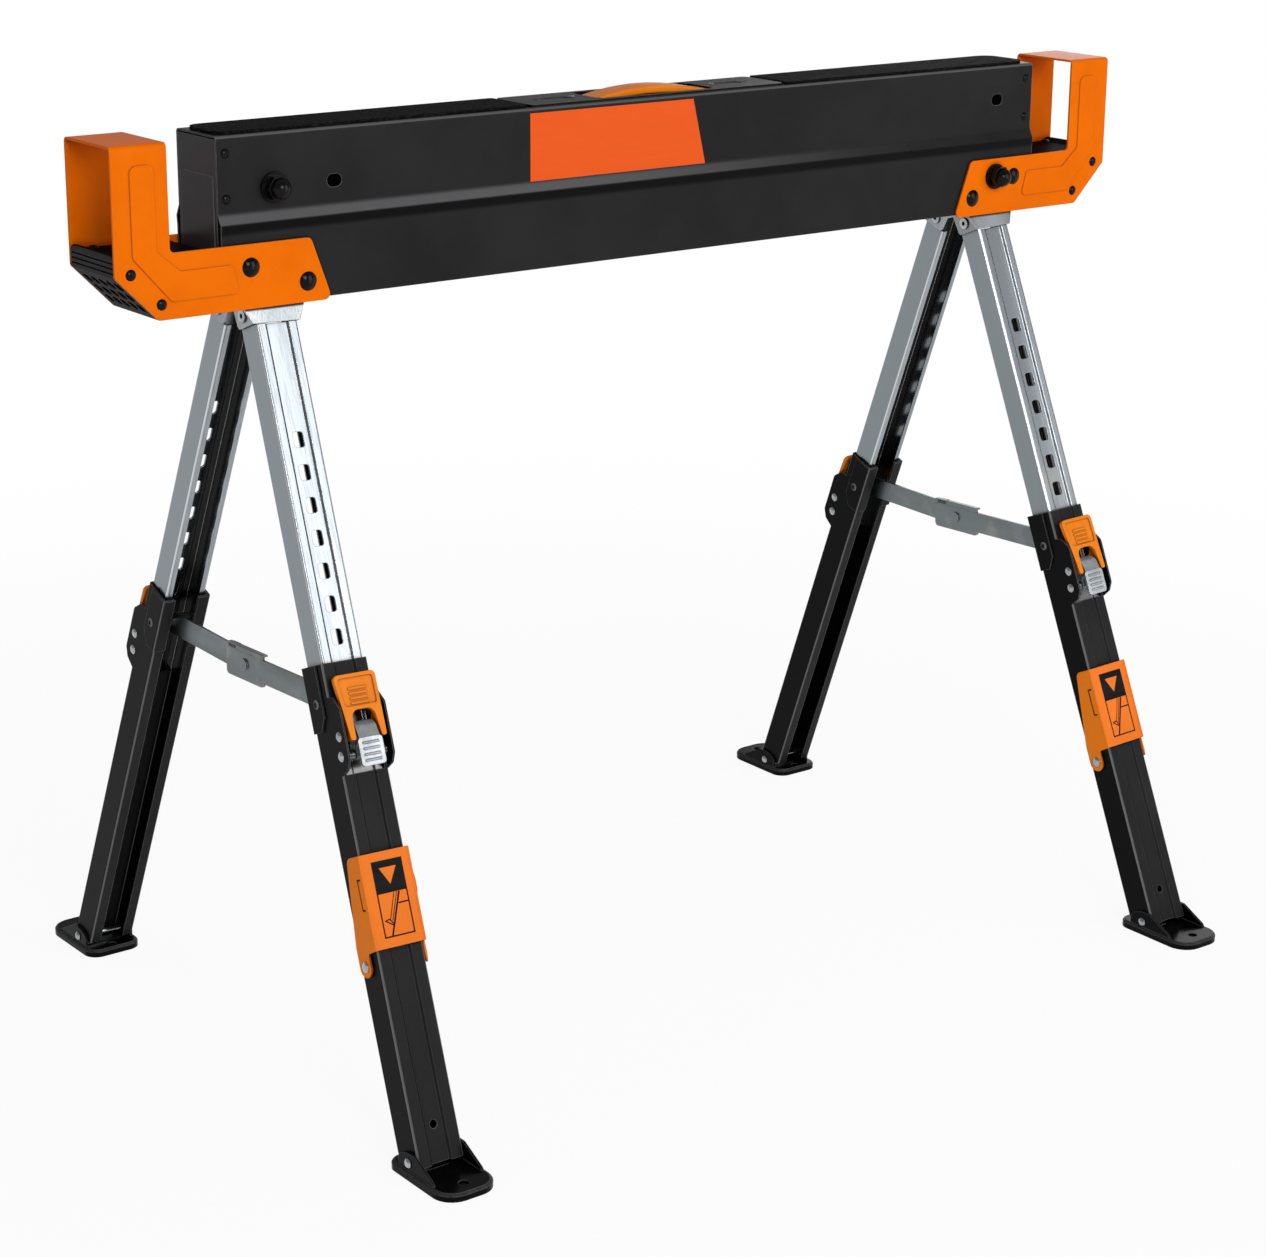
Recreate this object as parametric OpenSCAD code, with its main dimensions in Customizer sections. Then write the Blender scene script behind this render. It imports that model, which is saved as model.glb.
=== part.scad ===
// Folding steel builders trestle: a hollow beam on two pairs of splayed telescopic legs.
// X runs along the beam, -Y is the front, Z is up, and the origin is on the floor under the middle.

/* [Beam] */
// Length of the beam between its end plates
beam_len = 890; // [800:5:1000]
// Width of the beam's upper body
beam_w = 63; // [60:0.5:70]
// How far the skirt stands out of the upper body on each side
skirt_out = 4; // [3.5:0.5:6]
// Height of the whole beam
beam_h = 136.4; // [130:0.2:150]
// Height of the upper body's flat wall
wall_h = 61.4; // [56:0.2:70]
// Height of the sloping shoulder between the upper body and the skirt
shoulder_h = 9; // [6:0.5:12]
// Sheet thickness of the beam
beam_t = 1.5; // [1.2:0.1:2]
// Thickness of the grip pads on top
pad_t = 2.5; // [1.5:0.5:4]

/* [Stop brackets] */
// Clear width of the slot between the beam's end and the upright arm
slot_w = 47; // [42:1:55]
// Depth of that slot below the beam's top
slot_depth = 86.3; // [80:0.1:95]
// Width of the upright arm
arm_w = 49; // [40:1:60]
// Height of the arm's foot, which is bolted to the skirt
arm_foot_h = 52.3; // [46:0.1:60]
// How far the arm's foot reaches along the beam from its end
arm_reach = 100; // [90:1:110]
// Sheet thickness of the bracket
bracket_t = 2; // [1.5:0.1:3]

/* [Carrying handle] */
// Length of the handle's free arch
handle_span = 120; // [110:2:140]
// Rise of the arch above its ends
handle_rise = 7; // [5:0.5:12]
// Width of the strap
strap_w = 26; // [20:1:28]
// Thickness of the strap
strap_t = 3.5; // [2:0.5:3.5]
// Length of each end block over the strap
block_len = 66; // [50:1:70]

/* [Legs] */
// Splay of each leg from upright, seen along the beam
splay = 22; // [18:0.5:25]
// Outward lean of each pair of legs, seen from the front
lean = 2; // [0:0.5:4]
// Distance of a pair of legs from the beam's end, at the hinge
pair_inset = 48; // [40:1:65]
// Distance of each leg's hinge rivet from the middle plane
hinge_y = 20; // [19:0.5:22]
// Depth of the leg hinge rivets below the skirt
hinge_drop = 11.6; // [11:0.2:14]
// Distance from the hinge rivet to the foot's pin along the leg
leg_len = 692; // [660:1:720]
// Width of the upper leg
leg_w = 39; // [36:0.5:40]
// Sheet thickness of the upper leg
leg_t = 1.5; // [1.2:0.1:2]
// Sheet thickness of the lower leg
sleeve_t = 1.6; // [1.2:0.1:2]
// Play between the upper and the lower leg on each side
leg_play = 0.6; // [0.4:0.1:0.8]
// Distance from the hinge rivet to the top of the lower leg
sleeve_top = 288; // [280:1:300]
// Length of upper leg that is held in the lower leg
leg_overlap = 100; // [90:1:140]
// Pitch of the height holes
hole_pitch = 27; // [25:0.5:30]
// Distance from the hinge rivet to the first height hole
hole_first = 106.3; // [104:0.1:110]
// Number of height holes
hole_count = 10; // [8:1:10]

/* [Fold pivots] */
// Height of the left pair's pivot bolt above its hinge rivets
rise_left = 104; // [100:1:110]
// Height of the right pair's pivot bolt above its hinge rivets
rise_right = 45; // [42:1:48]
// Radius of the pivot bolts
pivot_r = 5; // [4:0.5:6]

/* [Feet] */
// Height of the foot's pin above the floor
foot_pin_h = 12.5; // [12:0.5:16]
// Length of the foot on the outer side of its pin
foot_out = 58; // [50:1:75]
// Length of the foot on the inner side of its pin
foot_in = 30; // [24:1:36]
// How far the foot's base reaches past its ears on each side
foot_lip = 2.6; // [2.4:0.1:6]
// Thickness of the foot's base
foot_t = 7; // [6:0.5:8]

/* [Material supports] */
// Distance from the hinge rivet to the support's rivet
support_pin = 533; // [525:1:545]
// Length of the support's plate
support_len = 77; // [65:1:85]
// Sheet thickness of the support
support_t = 1.8; // [1.5:0.1:2.5]

/* [Spreaders] */
// Distance from the top of the lower leg to the spreader's pin along the leg
anchor_drop = 30; // [22:1:38]
// How far the middle rivet lies below the pins, past the straight line
over_centre = 4; // [2:0.5:8]
// Height of the spreader's strip
link_h = 20; // [16:1:24]
// Thickness of the spreader's strip
link_t = 2.5; // [2:0.1:3]
// Distance of the spreader's lap from the middle of the leg
lap_x = 6.5; // [4:0.5:8]

/* [Hidden] */
$fn = 40;
eps = 0.01;
fit = 0.1;          // gap between fixed pieces that sit on each other
run = 0.2;          // radial play of a pin that turns
ends = [-1, 1];     // left and right
sides = [-1, 1];    // front and rear

// Heights, built up from the floor through the splayed leg
pin_in = -5;        // the foot's pin lies this far inside the hinge rivet's line
pair_x = beam_len / 2 - pair_inset;
hinge_z = foot_pin_h + (leg_len * cos(splay) + pin_in * sin(splay)) * cos(lean);
skirt_z = hinge_z + hinge_drop;
top_z = skirt_z + beam_h;
shoulder_z = top_z - wall_h;
skirt_hw = beam_w / 2 + skirt_out;
bead_out = 0.8;     // the shoulder's rolled edge stands this far out of the skirt

// Upper and lower leg sections, seen along the leg with its outer side towards -Y
leg_hw = leg_w / 2;
leg_front = -14;
leg_back = 11.5;
leg_lip = 6;
leg_recess = 2;
groove_in = 9;
groove_out = 11;
sleeve_grow = leg_play + sleeve_t;
sleeve_hw = leg_hw + sleeve_grow;
sleeve_front = leg_front - sleeve_grow;
sleeve_back = leg_back + sleeve_grow;
sleeve_gap = 11.5;  // half of the opening between the lower leg's lips
leg_top = 10;       // the upper leg's outer wall starts this far below its hinge rivet
leg_ear_r = 10;
leg_end = sleeve_top + leg_overlap;
hole_w = 10;
hole_h = 13;

// Yoke
yoke_t = 2;
yoke_hy = beam_w / 2 - beam_t - 0.5;
yoke_in = leg_hw + 0.5;
yoke_hx = yoke_in + yoke_t;
yoke_head = 14;     // yoke above its pivot
flap_end = leg_top - 0.5;
flap_mid = leg_front + yoke_t / 2;
flap_up = (hinge_y - flap_mid * cos(splay) - yoke_hy + yoke_t / 2) / sin(splay);
flap_top_hw = 31;
tube_r = 8;
rivet_r = 3;

// Stop bracket, with x measured from the middle of the beam
slot_x = beam_len / 2 + slot_w;
arm_x = slot_x + arm_w;
bracket_in = skirt_hw + fit;
bracket_hw = bracket_in + bracket_t;
arm_foot_top = top_z - slot_depth;
arm_foot_low = arm_foot_top - arm_foot_h;
arm_chamfer = 37;
arm_slant = 19;
bolt_spots = [[-25, -18.7], [-77.5, -35.4]];    // from the beam's end and the arm foot's top
block_screws = [[-14, 26], [-40, 0]];           // from the arm's outer edge, above block_screw_z
block_screw_z = arm_foot_low + 12.5;

// Latch, in the leg's own frame
paddle_pin = [-21.5, -sleeve_top - 60];
pawl_pin = [-19, -sleeve_top - 76];
latch_pin_r = 2.8;
ear_out = -30.5;
window_top = sleeve_top + 14;
window_end = sleeve_top + 91;
window_hw = 18;
window_neck = [sleeve_top + 30, 15];    // the window is narrower above this place
clip_len = 54;
clip_t = 1.5;
clip_front = -7;
clip_cut = [9, 13];
clip_rivet = [1.5, -(sleeve_top + 31)];

// Foot
foot_pin_r = 4;
foot_pin = [pin_in, -leg_len];
foot_ear_in = sleeve_hw + 0.5;
foot_ear_t = 2.2;
foot_w = 2 * (foot_ear_in + foot_ear_t + foot_lip);
sleeve_foot_gap = 4.6;
sleeve_ear_r = 6.8;     // the lower leg's rounded end around the foot's pin

// Support
support_y = 2.5;
support_in = sleeve_hw + 0.5;
support_hw = support_in + support_t;
support_front = sleeve_front - 0.4;
support_low = support_pin - 12;
support_top = support_low - support_len;

// Spreader
anchor_s = sleeve_top + anchor_drop;
anchor_y = 4.5;
anchor_pin_r = 3.2;
spacer_r = 5.2;
spacer_gap = 0.2;
// Half the span between the two pins of a pair, and their height against the hinge rivets
anchor_span = hinge_y + anchor_s * sin(splay) - anchor_y * cos(splay);
anchor_z = -anchor_s * cos(splay) - anchor_y * sin(splay);
link_len = norm([anchor_span, over_centre]);
link_dip = atan2(over_centre, anchor_span);
link_gap = 0.4;

LEGS = ["front_left", "front_right", "rear_left", "rear_right"];
function leg_end_of(i) = i % 2 == 0 ? -1 : 1;
function leg_side_of(i) = i < 2 ? -1 : 1;
function rise(e) = e < 0 ? rise_left : rise_right;
function nut_seat(e) = e < 0 ? beam_w / 2 : bracket_hw;

// Outline helpers

function unit(v) = v / norm(v);

// Points of the arc of radius r that rounds corner p between its neighbours a and b
function corner_arc(a, p, b, r, n) =
    let (u = unit(a - p), v = unit(b - p),
         half = acos(max(-1, min(1, u * v))) / 2,
         c = p + unit(u + v) * r / sin(half),
         s = p + u * r / tan(half) - c,
         t = p + v * r / tan(half) - c,
         a0 = atan2(s.y, s.x),
         turn = atan2(s.x * t.y - s.y * t.x, s * t))
    [for (i = [0:n]) c + r * [cos(a0 + turn * i / n), sin(a0 + turn * i / n)]];

// A closed outline from [x, y, corner radius] points
function rounded(pts, n = 5) =
    let (m = len(pts), xy = [for (p = pts) [p.x, p.y]])
    [for (i = [0:m - 1]) each pts[i][2] == 0 ? [xy[i]]
        : corner_arc(xy[(i + m - 1) % m], xy[i], xy[(i + 1) % m], pts[i][2], n)];

function flipped(pts) = [for (p = pts) [-p.x, p.y, p[2]]];
function reversed(pts) = [for (i = [len(pts) - 1:-1:0]) pts[i]];
function mirrored(pts) = flipped(reversed(pts));

// Outline of a lipped channel, open towards +Y, with a shallow groove along its front wall.
// The groove's sides lie at 45 degrees, so that an outline d further out has it narrower by d * tan(22.5).
function channel(hw, front, back, t, gap) =
    let (narrow = (leg_front - front) * tan(22.5),
         wide = t * tan(22.5) - narrow,
         outer = [[gap, back, 0], [hw, back, 2.2], [hw, front, 2.6], [groove_out - narrow, front, 0.8],
                  [groove_in - narrow, front + leg_recess, 0.8]],
         inner = [[gap, back - t, 0], [hw - t, back - t, 0.7], [hw - t, front + t, 1],
                  [groove_out + wide, front + t, 0.6], [groove_in + wide, front + leg_recess + t, 0.6]])
    rounded(concat(outer, mirrored(outer), flipped(inner), reversed(inner)), 4);

// Placing helpers

// Extrudes an outline of (y, z) points along X between x0 and x1
module along_x(x0, x1) {
    translate([x0, 0, 0]) rotate([90, 0, 90]) linear_extrude(x1 - x0) children();
}

// Extrudes an outline of (x, z) points along Y between y0 and y1
module along_y(y0, y1) {
    translate([0, y1, 0]) rotate([90, 0, 0]) linear_extrude(y1 - y0) children();
}

module rod_x(r, x0, x1) {
    translate([x0, 0, 0]) rotate([0, 90, 0]) cylinder(r = r, h = x1 - x0);
}

module rod_y(r, y0, y1) {
    translate([0, y0, 0]) rotate([-90, 0, 0]) cylinder(r = r, h = y1 - y0);
}

// Both copies of a shape, mirrored across the middle plane y = 0 or x = 0
module both_y() {
    children();
    mirror([0, 1, 0]) children();
}

module both_x() {
    children();
    mirror([1, 0, 0]) children();
}

// Frame of a pair of legs: origin between its hinge rivets, leaning outwards
module at_pair(e) {
    translate([e * pair_x, 0, hinge_z]) rotate([0, -e * lean, 0]) children();
}

// Frame of one leg: origin at its hinge rivet, -Z down the leg, -Y to its outer side
module at_leg(e, s) {
    at_pair(e) translate([0, s * hinge_y, 0]) rotate([s * splay, 0, 0])
        rotate([0, 0, s < 0 ? 0 : 180]) children();
}

// Frame of a foot: origin at its pin, level with the floor, -Y to its outer side
module at_foot(e, s) {
    at_leg(e, s) translate([0, foot_pin.x, foot_pin.y]) rotate([splay, 0, 0])
        rotate([0, -s * e * lean, 0]) children();
}

// Beam

module beam_profile() {
    half = beam_w / 2;
    outer = [[0, top_z, 0], [half, top_z, 3], [half, shoulder_z, 2],
             [skirt_hw + bead_out, shoulder_z - shoulder_h, 2.5],
             [skirt_hw, shoulder_z - shoulder_h - 8, 2], [skirt_hw, skirt_z, 0]];
    inner = [for (p = outer) [max(0, p.x - beam_t), p.y, p[2]]];
    lowered = [for (i = [0:len(inner) - 1])
        [inner[i].x, i < 2 ? top_z - beam_t : inner[i].y, i == 1 ? 1.5 : inner[i][2]]];
    right = concat(outer, [for (i = [len(lowered) - 1:-1:0]) lowered[i]]);
    polygon(rounded(right));
    mirror([1, 0]) polygon(rounded(right));
}

// oblong holes in the front wall
fold_slots = [[60 - pair_x, top_z - 43.4], [pair_x + 2.8, top_z - 31.6]];
slot_len = 14;
slot_high = 10.5;
pan_hx = handle_span / 2 + 3;
pan_hy = 25;
pocket_hx = handle_span / 2 + block_len + 0.5;
pocket_hy = strap_w / 2 + 4.5;
pocket_t = 1.5;

// Plan of the tray's shallow pocket, grown by d on every side
function pocket_plan(d) = let (x = pocket_hx + d, y = pocket_hy + d, r = pocket_hy - 3 + d)
    [[-x, -y, r], [x, -y, r], [x, y, r], [-x, y, r]];

module oblong(len, high) {
    both_x() translate([(len - high) / 2, 0]) circle(d = high);
    square([len - high, high], center = true);
}

module beam_shell() {
    color("#2b2b2d") difference() {
        along_x(-beam_len / 2, beam_len / 2) beam_profile();
        for (e = ends) at_pair(e) translate([0, 0, rise(e)]) rod_y(pivot_r + fit, -50, 50);
        for (p = fold_slots) translate([p.x, 0, p.y]) along_y(-50, -20) oblong(slot_len, slot_high);
        for (e = ends, p = bolt_spots) translate(bolt_at(e, p)) rod_y(bolt_r + fit, -50, 50);
        for (e = ends, z = cap_screw_z) translate([e * cap_screw_x, 0, z]) rod_y(cap_screw_r + fit, -50, 50);
        translate([0, 0, top_z]) cube([2 * (pan_hx + 0.5), 2 * (pan_hy + 0.5), 10], center = true);
        translate([0, 0, top_z - 5]) linear_extrude(10) polygon(rounded(pocket_plan(pocket_t + 0.5), 8));
    }
}

cap_hy = beam_w / 2 - beam_t - fit;
cap_low = arm_foot_top - 12;
cap_top = top_z - beam_t - 1.2;
cap_flange = 14;
cap_t = 1.5;
cap_screw_x = beam_len / 2 - 8;
cap_screw_z = [top_z - 14, top_z - 50];
cap_screw_r = 1.9;

module end_caps() {
    color("#3a3837") both_x() difference() {
        union() {
            along_x(beam_len / 2 - cap_flange, beam_len / 2) polygon(rounded(concat(
                [[cap_hy, cap_low, 0], [cap_hy, cap_top, 0], [-cap_hy, cap_top, 0], [-cap_hy, cap_low, 0]])));
            along_x(beam_len / 2 - eps, beam_len / 2 + 0.6) polygon(rounded(
                [[cap_hy - 4, cap_low + 2, 1], [cap_hy - 4, top_z - 32, 1],
                 [4 - cap_hy, top_z - 32, 1], [4 - cap_hy, cap_low + 2, 1]]));
        }
        translate([beam_len / 2 - cap_flange - 1, cap_t - cap_hy, cap_low - 1])
            cube([cap_flange + 1 - cap_t, 2 * (cap_hy - cap_t), cap_top - cap_low + 2]);
        for (z = cap_screw_z) translate([cap_screw_x, 0, z]) rod_y(cap_screw_r + fit, -50, 50);
    }
}

// Top of the beam

tray_hx = handle_span / 2 + block_len + 12;
tray_hy = 28;
tray_t = 2;
pan_deep = 24;
pocket_deep = 3.2;
pan_t = 2;
pad_hy = 27;
pad_gap = 4;
pad_end_r = 14;
tray_screw_x = [for (e = ends) e * (handle_span / 2 + block_len - 10)];
tray_screw_r = 3;

module grip_pads() {
    x0 = tray_hx + pad_gap;
    x1 = beam_len / 2 - pad_gap;
    color("#1d1d1e") both_x() translate([0, 0, top_z]) linear_extrude(pad_t)
        polygon(rounded([[x0, -pad_hy, 3], [x1, -pad_hy, pad_end_r], [x1, pad_hy, pad_end_r],
            [x0, pad_hy, 3]], 8));
}

module handle_tray() {
    color("#222224") difference() {
        union() {
            translate([0, 0, top_z]) linear_extrude(tray_t) polygon(rounded(
                [[-tray_hx, -tray_hy, 5], [tray_hx, -tray_hy, 5], [tray_hx, tray_hy, 5],
                    [-tray_hx, tray_hy, 5]]));
            translate([-pan_hx, -pan_hy, top_z - pan_deep]) cube([2 * pan_hx, 2 * pan_hy, pan_deep + eps]);
            translate([0, 0, top_z - pocket_deep - pocket_t]) linear_extrude(pocket_deep + pocket_t + eps)
                polygon(rounded(pocket_plan(pocket_t), 8));
        }
        translate([0, 0, top_z - pocket_deep]) linear_extrude(20) polygon(rounded(pocket_plan(0), 8));
        translate([pan_t - pan_hx, pan_t - pan_hy, top_z - pan_deep + pan_t])
            cube([2 * (pan_hx - pan_t), 2 * (pan_hy - pan_t), pan_deep + tray_t]);
        for (x = tray_screw_x) translate([x, 0, top_z - 10]) cylinder(r = cap_screw_r + fit, h = 20);
    }
}

strap_z = top_z - pocket_deep + fit;
strap_end = handle_span / 2 + block_len - 20;
strap_steps = 20;
function strap_lift(x) = abs(x) > handle_span / 2 ? 0 : handle_rise * (1 + cos(360 * x / handle_span)) / 2;

module carry_handle() {
    xs = concat([-strap_end], [for (i = [0:strap_steps]) handle_span * (i / strap_steps - 0.5)], [strap_end]);
    low = [for (x = xs) [x, strap_z + strap_lift(x)]];
    high = [for (i = [len(xs) - 1:-1:0]) [xs[i], strap_z + strap_t + strap_lift(xs[i])]];
    color("#e8720f") along_y(-strap_w / 2, strap_w / 2) polygon(concat(low, high));
}

handle_block_h = pocket_deep + tray_t;
handle_block_hy = pocket_hy - 0.3;

module handle_blocks() {
    x0 = handle_span / 2 + 4;
    x1 = handle_span / 2 + block_len;
    end_r = handle_block_hy - 3;
    top = top_z + tray_t;
    color("#1c1c1d") both_x() difference() {
        translate([0, 0, strap_z - fit]) linear_extrude(handle_block_h) polygon(rounded(
            [[x0, -handle_block_hy, 1], [x1, -handle_block_hy, end_r],
             [x1, handle_block_hy, end_r], [x0, handle_block_hy, 1]], 8));
        translate([0, -strap_w / 2 - fit, strap_z - 1])
            cube([strap_end + fit, strap_w + 2 * fit, strap_t + 1 + fit]);
        translate([0, 0, top - 0.7]) linear_extrude(5) polygon(rounded(
            [[x0 + 17, -8, 7], [x1 - 16, -8, 7], [x1 - 16, 8, 7], [x0 + 17, 8, 7]]));
        translate([tray_screw_x[1], 0, 0]) cylinder(r = cap_screw_r + fit, h = top + 1);
        translate([tray_screw_x[1], 0, top - 1.8]) cylinder(r = tray_screw_r + fit, h = 5);
    }
}

// Stop brackets at the ends of the beam

bolt_r = 4;
bolt_head_r = 8;
function bolt_at(e, p) = [e * (beam_len / 2 + p.x), 0, arm_foot_top + p.y];
function block_screw_at(e, p) = [e * (arm_x + p.x), 0, block_screw_z + p.y];

function bracket_outline() = [
    [beam_len / 2 - arm_reach, arm_foot_low, 5],
    [arm_x - arm_chamfer, arm_foot_low, 4], [arm_x, arm_foot_low + arm_chamfer, 4],
    [arm_x, top_z + 10, 0], [slot_x, top_z + 10, 0], [slot_x, arm_foot_top, 4],
    [beam_len / 2 - arm_reach + arm_slant, arm_foot_top, 5]];

// The shallow pressed panel that stiffens each cheek
function bracket_panel() = [
    [beam_len / 2 - 14, arm_foot_low + 14, 4], [arm_x - arm_chamfer - 12, arm_foot_low + 14, 4],
    [arm_x - 16, arm_foot_low + arm_chamfer + 14, 6], [arm_x - 16, top_z - 16, 6],
        [slot_x + 12, top_z - 16, 6],
    [slot_x + 12, arm_foot_top + 2, 4], [slot_x - 8, arm_foot_top - 15, 4],
        [beam_len / 2 - 8, arm_foot_top - 15, 4]];

panel_out = 0.8;

module stop_bracket(e) {
    color("#ee6f0a") mirror([e < 0 ? 1 : 0, 0, 0]) difference() {
        intersection() {
            union() {
                both_y() along_y(bracket_in, bracket_hw) polygon(rounded(bracket_outline()));
                both_y() along_y(bracket_hw - eps, bracket_hw + panel_out) polygon(rounded(bracket_panel()));
                translate([slot_x, -bracket_hw, top_z - bracket_t]) cube([arm_w, 2 * bracket_hw, bracket_t]);
            }
            along_x(0, arm_x + 1) polygon(rounded(
                [[-bracket_hw - panel_out, 0, 0], [-bracket_hw - panel_out, top_z - 12, 0],
                    [-bracket_hw, top_z - 10, 0],
                 [-bracket_hw, top_z, 4], [bracket_hw, top_z, 4],
                 [bracket_hw, top_z - 10, 0], [bracket_hw + panel_out, top_z - 12, 0],
                     [bracket_hw + panel_out, 0, 0]]));
        }
        for (p = bolt_spots) translate(bolt_at(1, p)) rod_y(bolt_r + fit, -60, 60);
        for (p = block_screws) translate(block_screw_at(1, p)) rod_y(block_screw_r + fit, -60, 60);
        if (e > 0) at_pair(e) translate([0, 0, rise(e)]) rod_y(pivot_r + fit, -60, 60);
    }
}

block_screw_r = 2.4;
block_hy = bracket_in - fit;
cell_r = 6.5;
cell_deep = 9;

// Ribbed plastic block that stiffens the bracket's lower corner
module corner_blocks() {
    low = arm_foot_low + 1;
    slope = [arm_x - arm_chamfer / 2, arm_foot_low + arm_chamfer / 2];
    color("#191919") both_x() difference() {
        along_y(-block_hy, block_hy) polygon(rounded(
            [[beam_len / 2 + 6, low, 2], [arm_x - arm_chamfer, low - 1, 3], [arm_x, low + arm_chamfer - 1, 3],
             [arm_x, arm_foot_top + 3, 4], [arm_x - 14, arm_foot_top - 2, 4],
                 [beam_len / 2 + 6, arm_foot_top - 4, 3]]));
        translate([slope.x, 0, slope.y]) rotate([0, 135, 0]) for (row = [-1:1], col = [-2:2])
            translate([row * 2 * cell_r, (col + (row == 0 ? 0.5 : 0))
                * 2 * cell_r - (row == 0 ? cell_r : 0), -cell_deep])
                cylinder(r = cell_r - 0.8, h = 30, $fn = 6);
        for (k = [0:2]) translate([arm_x - 1.8, -60, low + arm_chamfer + 1.5 + 4 * k]) cube([10, 120, 1.6]);
        for (p = block_screws) translate(block_screw_at(1, p)) rod_y(block_screw_r, -60, 60);
    }
}

// Domed button-head fastener along Y, its seat at y = 0 and its head towards -Y
module button_head(r, h) {
    rotate([90, 0, 0]) rotate_extrude() intersection() {
        translate([0, h - (r * r + h * h) / (2 * h)]) circle(r = (r * r + h * h) / (2 * h), $fn = 96);
        square([r, h]);
    }
}

nut_h = 3.5;

module bracket_bolts() {
    color("#151515") both_y() for (e = ends, p = bolt_spots) translate(bolt_at(e, p)) {
        translate([0, -bracket_hw, 0]) button_head(bolt_head_r, 3.2);
        rod_y(bolt_r, -bracket_hw, -skirt_hw + beam_t + nut_h);
        translate([0, beam_t - skirt_hw, 0]) rotate([-90, 0, 0]) cylinder(r = bolt_r + 3, h = nut_h, $fn = 6);
    }
}

// Cross-point of the small screws
module small_screw(head_r, head_h, r, len) {
    difference() {
        button_head(head_r, head_h);
        for (a = [0, 90]) rotate([0, a, 0]) translate([0, -head_h, 0])
            cube([head_r, 1.2, 0.8], center = true);
    }
    rod_y(r, -eps, len);
}

module small_screws() {
    color("#141414") {
        both_y() for (e = ends, z = cap_screw_z) translate([e * cap_screw_x, -beam_w / 2, z])
            small_screw(4, 2, cap_screw_r, beam_t + cap_t + 4);
        both_y() for (e = ends, p = block_screws) translate(block_screw_at(e, p))
            translate([0, -bracket_hw, 0])
            small_screw(4.6, 2, block_screw_r - fit, 22);
        for (x = tray_screw_x) translate([x, 0, top_z + tray_t - 1.8]) rotate([-90, 0, 0])
            small_screw(tray_screw_r, 1.7, cap_screw_r, 8);
    }
}

// Pivot bolts of the folding leg pairs

washer_r = 12;
washer_t = 2;
hex_r = 10.6;
hex_h = 8;
dome_r = 9;
bolt_end = 6;

module pivot_bolts() {
    color("#1a1a1a") for (e = ends) at_pair(e) translate([0, 0, rise(e)]) {
        rod_y(pivot_r, -nut_seat(e) - washer_t - bolt_end, nut_seat(e) + eps);
        translate([0, nut_seat(e), 0]) rotate([-90, 0, 0]) cylinder(r = hex_r, h = 6.4, $fn = 6);
    }
}

module dome_nuts() {
    color("#111111") for (e = ends) at_pair(e) translate([0, -nut_seat(e), rise(e)]) rotate([90, 0, 0])
        difference() {
        union() {
            cylinder(r = washer_r, h = washer_t);
            translate([0, 0, washer_t - eps]) cylinder(r = hex_r, h = hex_h, $fn = 6);
            translate([0, 0, washer_t + hex_h]) intersection() {
                sphere(r = dome_r);
                translate([0, 0, 10 - eps]) cube(20, center = true);
            }
        }
        translate([0, 0, -1]) cylinder(r = pivot_r + eps, h = 1 + washer_t + bolt_end + 0.5);
    }
}

// Yokes that carry the leg hinges and swing on the pivot bolts

module yoke_cheek(e) {
    lobe_y = hinge_y - flap_mid * cos(splay) + flap_end * sin(splay);
    lobe_z = -flap_mid * sin(splay) - flap_end * cos(splay);
    tip = 24;
    knee = hinge_drop;
    top = rise(e) + yoke_head;
    half = [[yoke_hy, top, 4], [yoke_hy, knee, 2], [lobe_y, lobe_z, 2],
            [lobe_y - tip * cos(splay), lobe_z - tip * sin(splay), 4], [4, 4, 3]];
    polygon(rounded(concat(half, mirrored(half))));
}

module yoke_wall(e) {
    top = rise(e) + yoke_head;
    half = [[yoke_hx, top, 0], [yoke_hx, hinge_drop + 16, 2], [flap_top_hw, hinge_drop + 6, 2],
        [flap_top_hw, hinge_drop - 2, 0]];
    polygon(rounded(concat(half, mirrored(half))));
}

module yoke(e) {
    color("#b9bec2") at_pair(e) difference() {
        union() {
            both_x() along_x(yoke_in, yoke_hx) yoke_cheek(e);
            both_y() along_y(-yoke_hy, yoke_t - yoke_hy) yoke_wall(e);
            both_y() translate([0, -hinge_y, 0]) rotate([-splay, 0, 0])
                along_y(leg_front, leg_front + yoke_t) polygon(
                    [[-yoke_hx, -flap_end], [yoke_hx, -flap_end], [flap_top_hw, flap_up],
                        [-flap_top_hw, flap_up]]);
            translate([0, 0, rise(e)]) rod_y(tube_r, -yoke_hy, yoke_hy);
        }
        translate([0, 0, rise(e)]) rod_y(pivot_r + run, -50, 50);
        for (s = sides) translate([0, s * hinge_y, 0]) rod_x(rivet_r + eps, -50, 50);
    }
}

rivet_head_r = 5.4;
rivet_head_h = 1.6;

module hinge_rivets(e) {
    color("#c9cdd0") at_pair(e) for (s = sides) translate([0, s * hinge_y, 0]) difference() {
        union() {
            rod_x(rivet_r, -yoke_hx, yoke_hx);
            both_x() rod_x(rivet_head_r, yoke_hx, yoke_hx + rivet_head_h);
        }
        both_x() rod_x(rivet_r - 1, yoke_hx - 4, 50);
    }
}

// Legs

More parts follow.
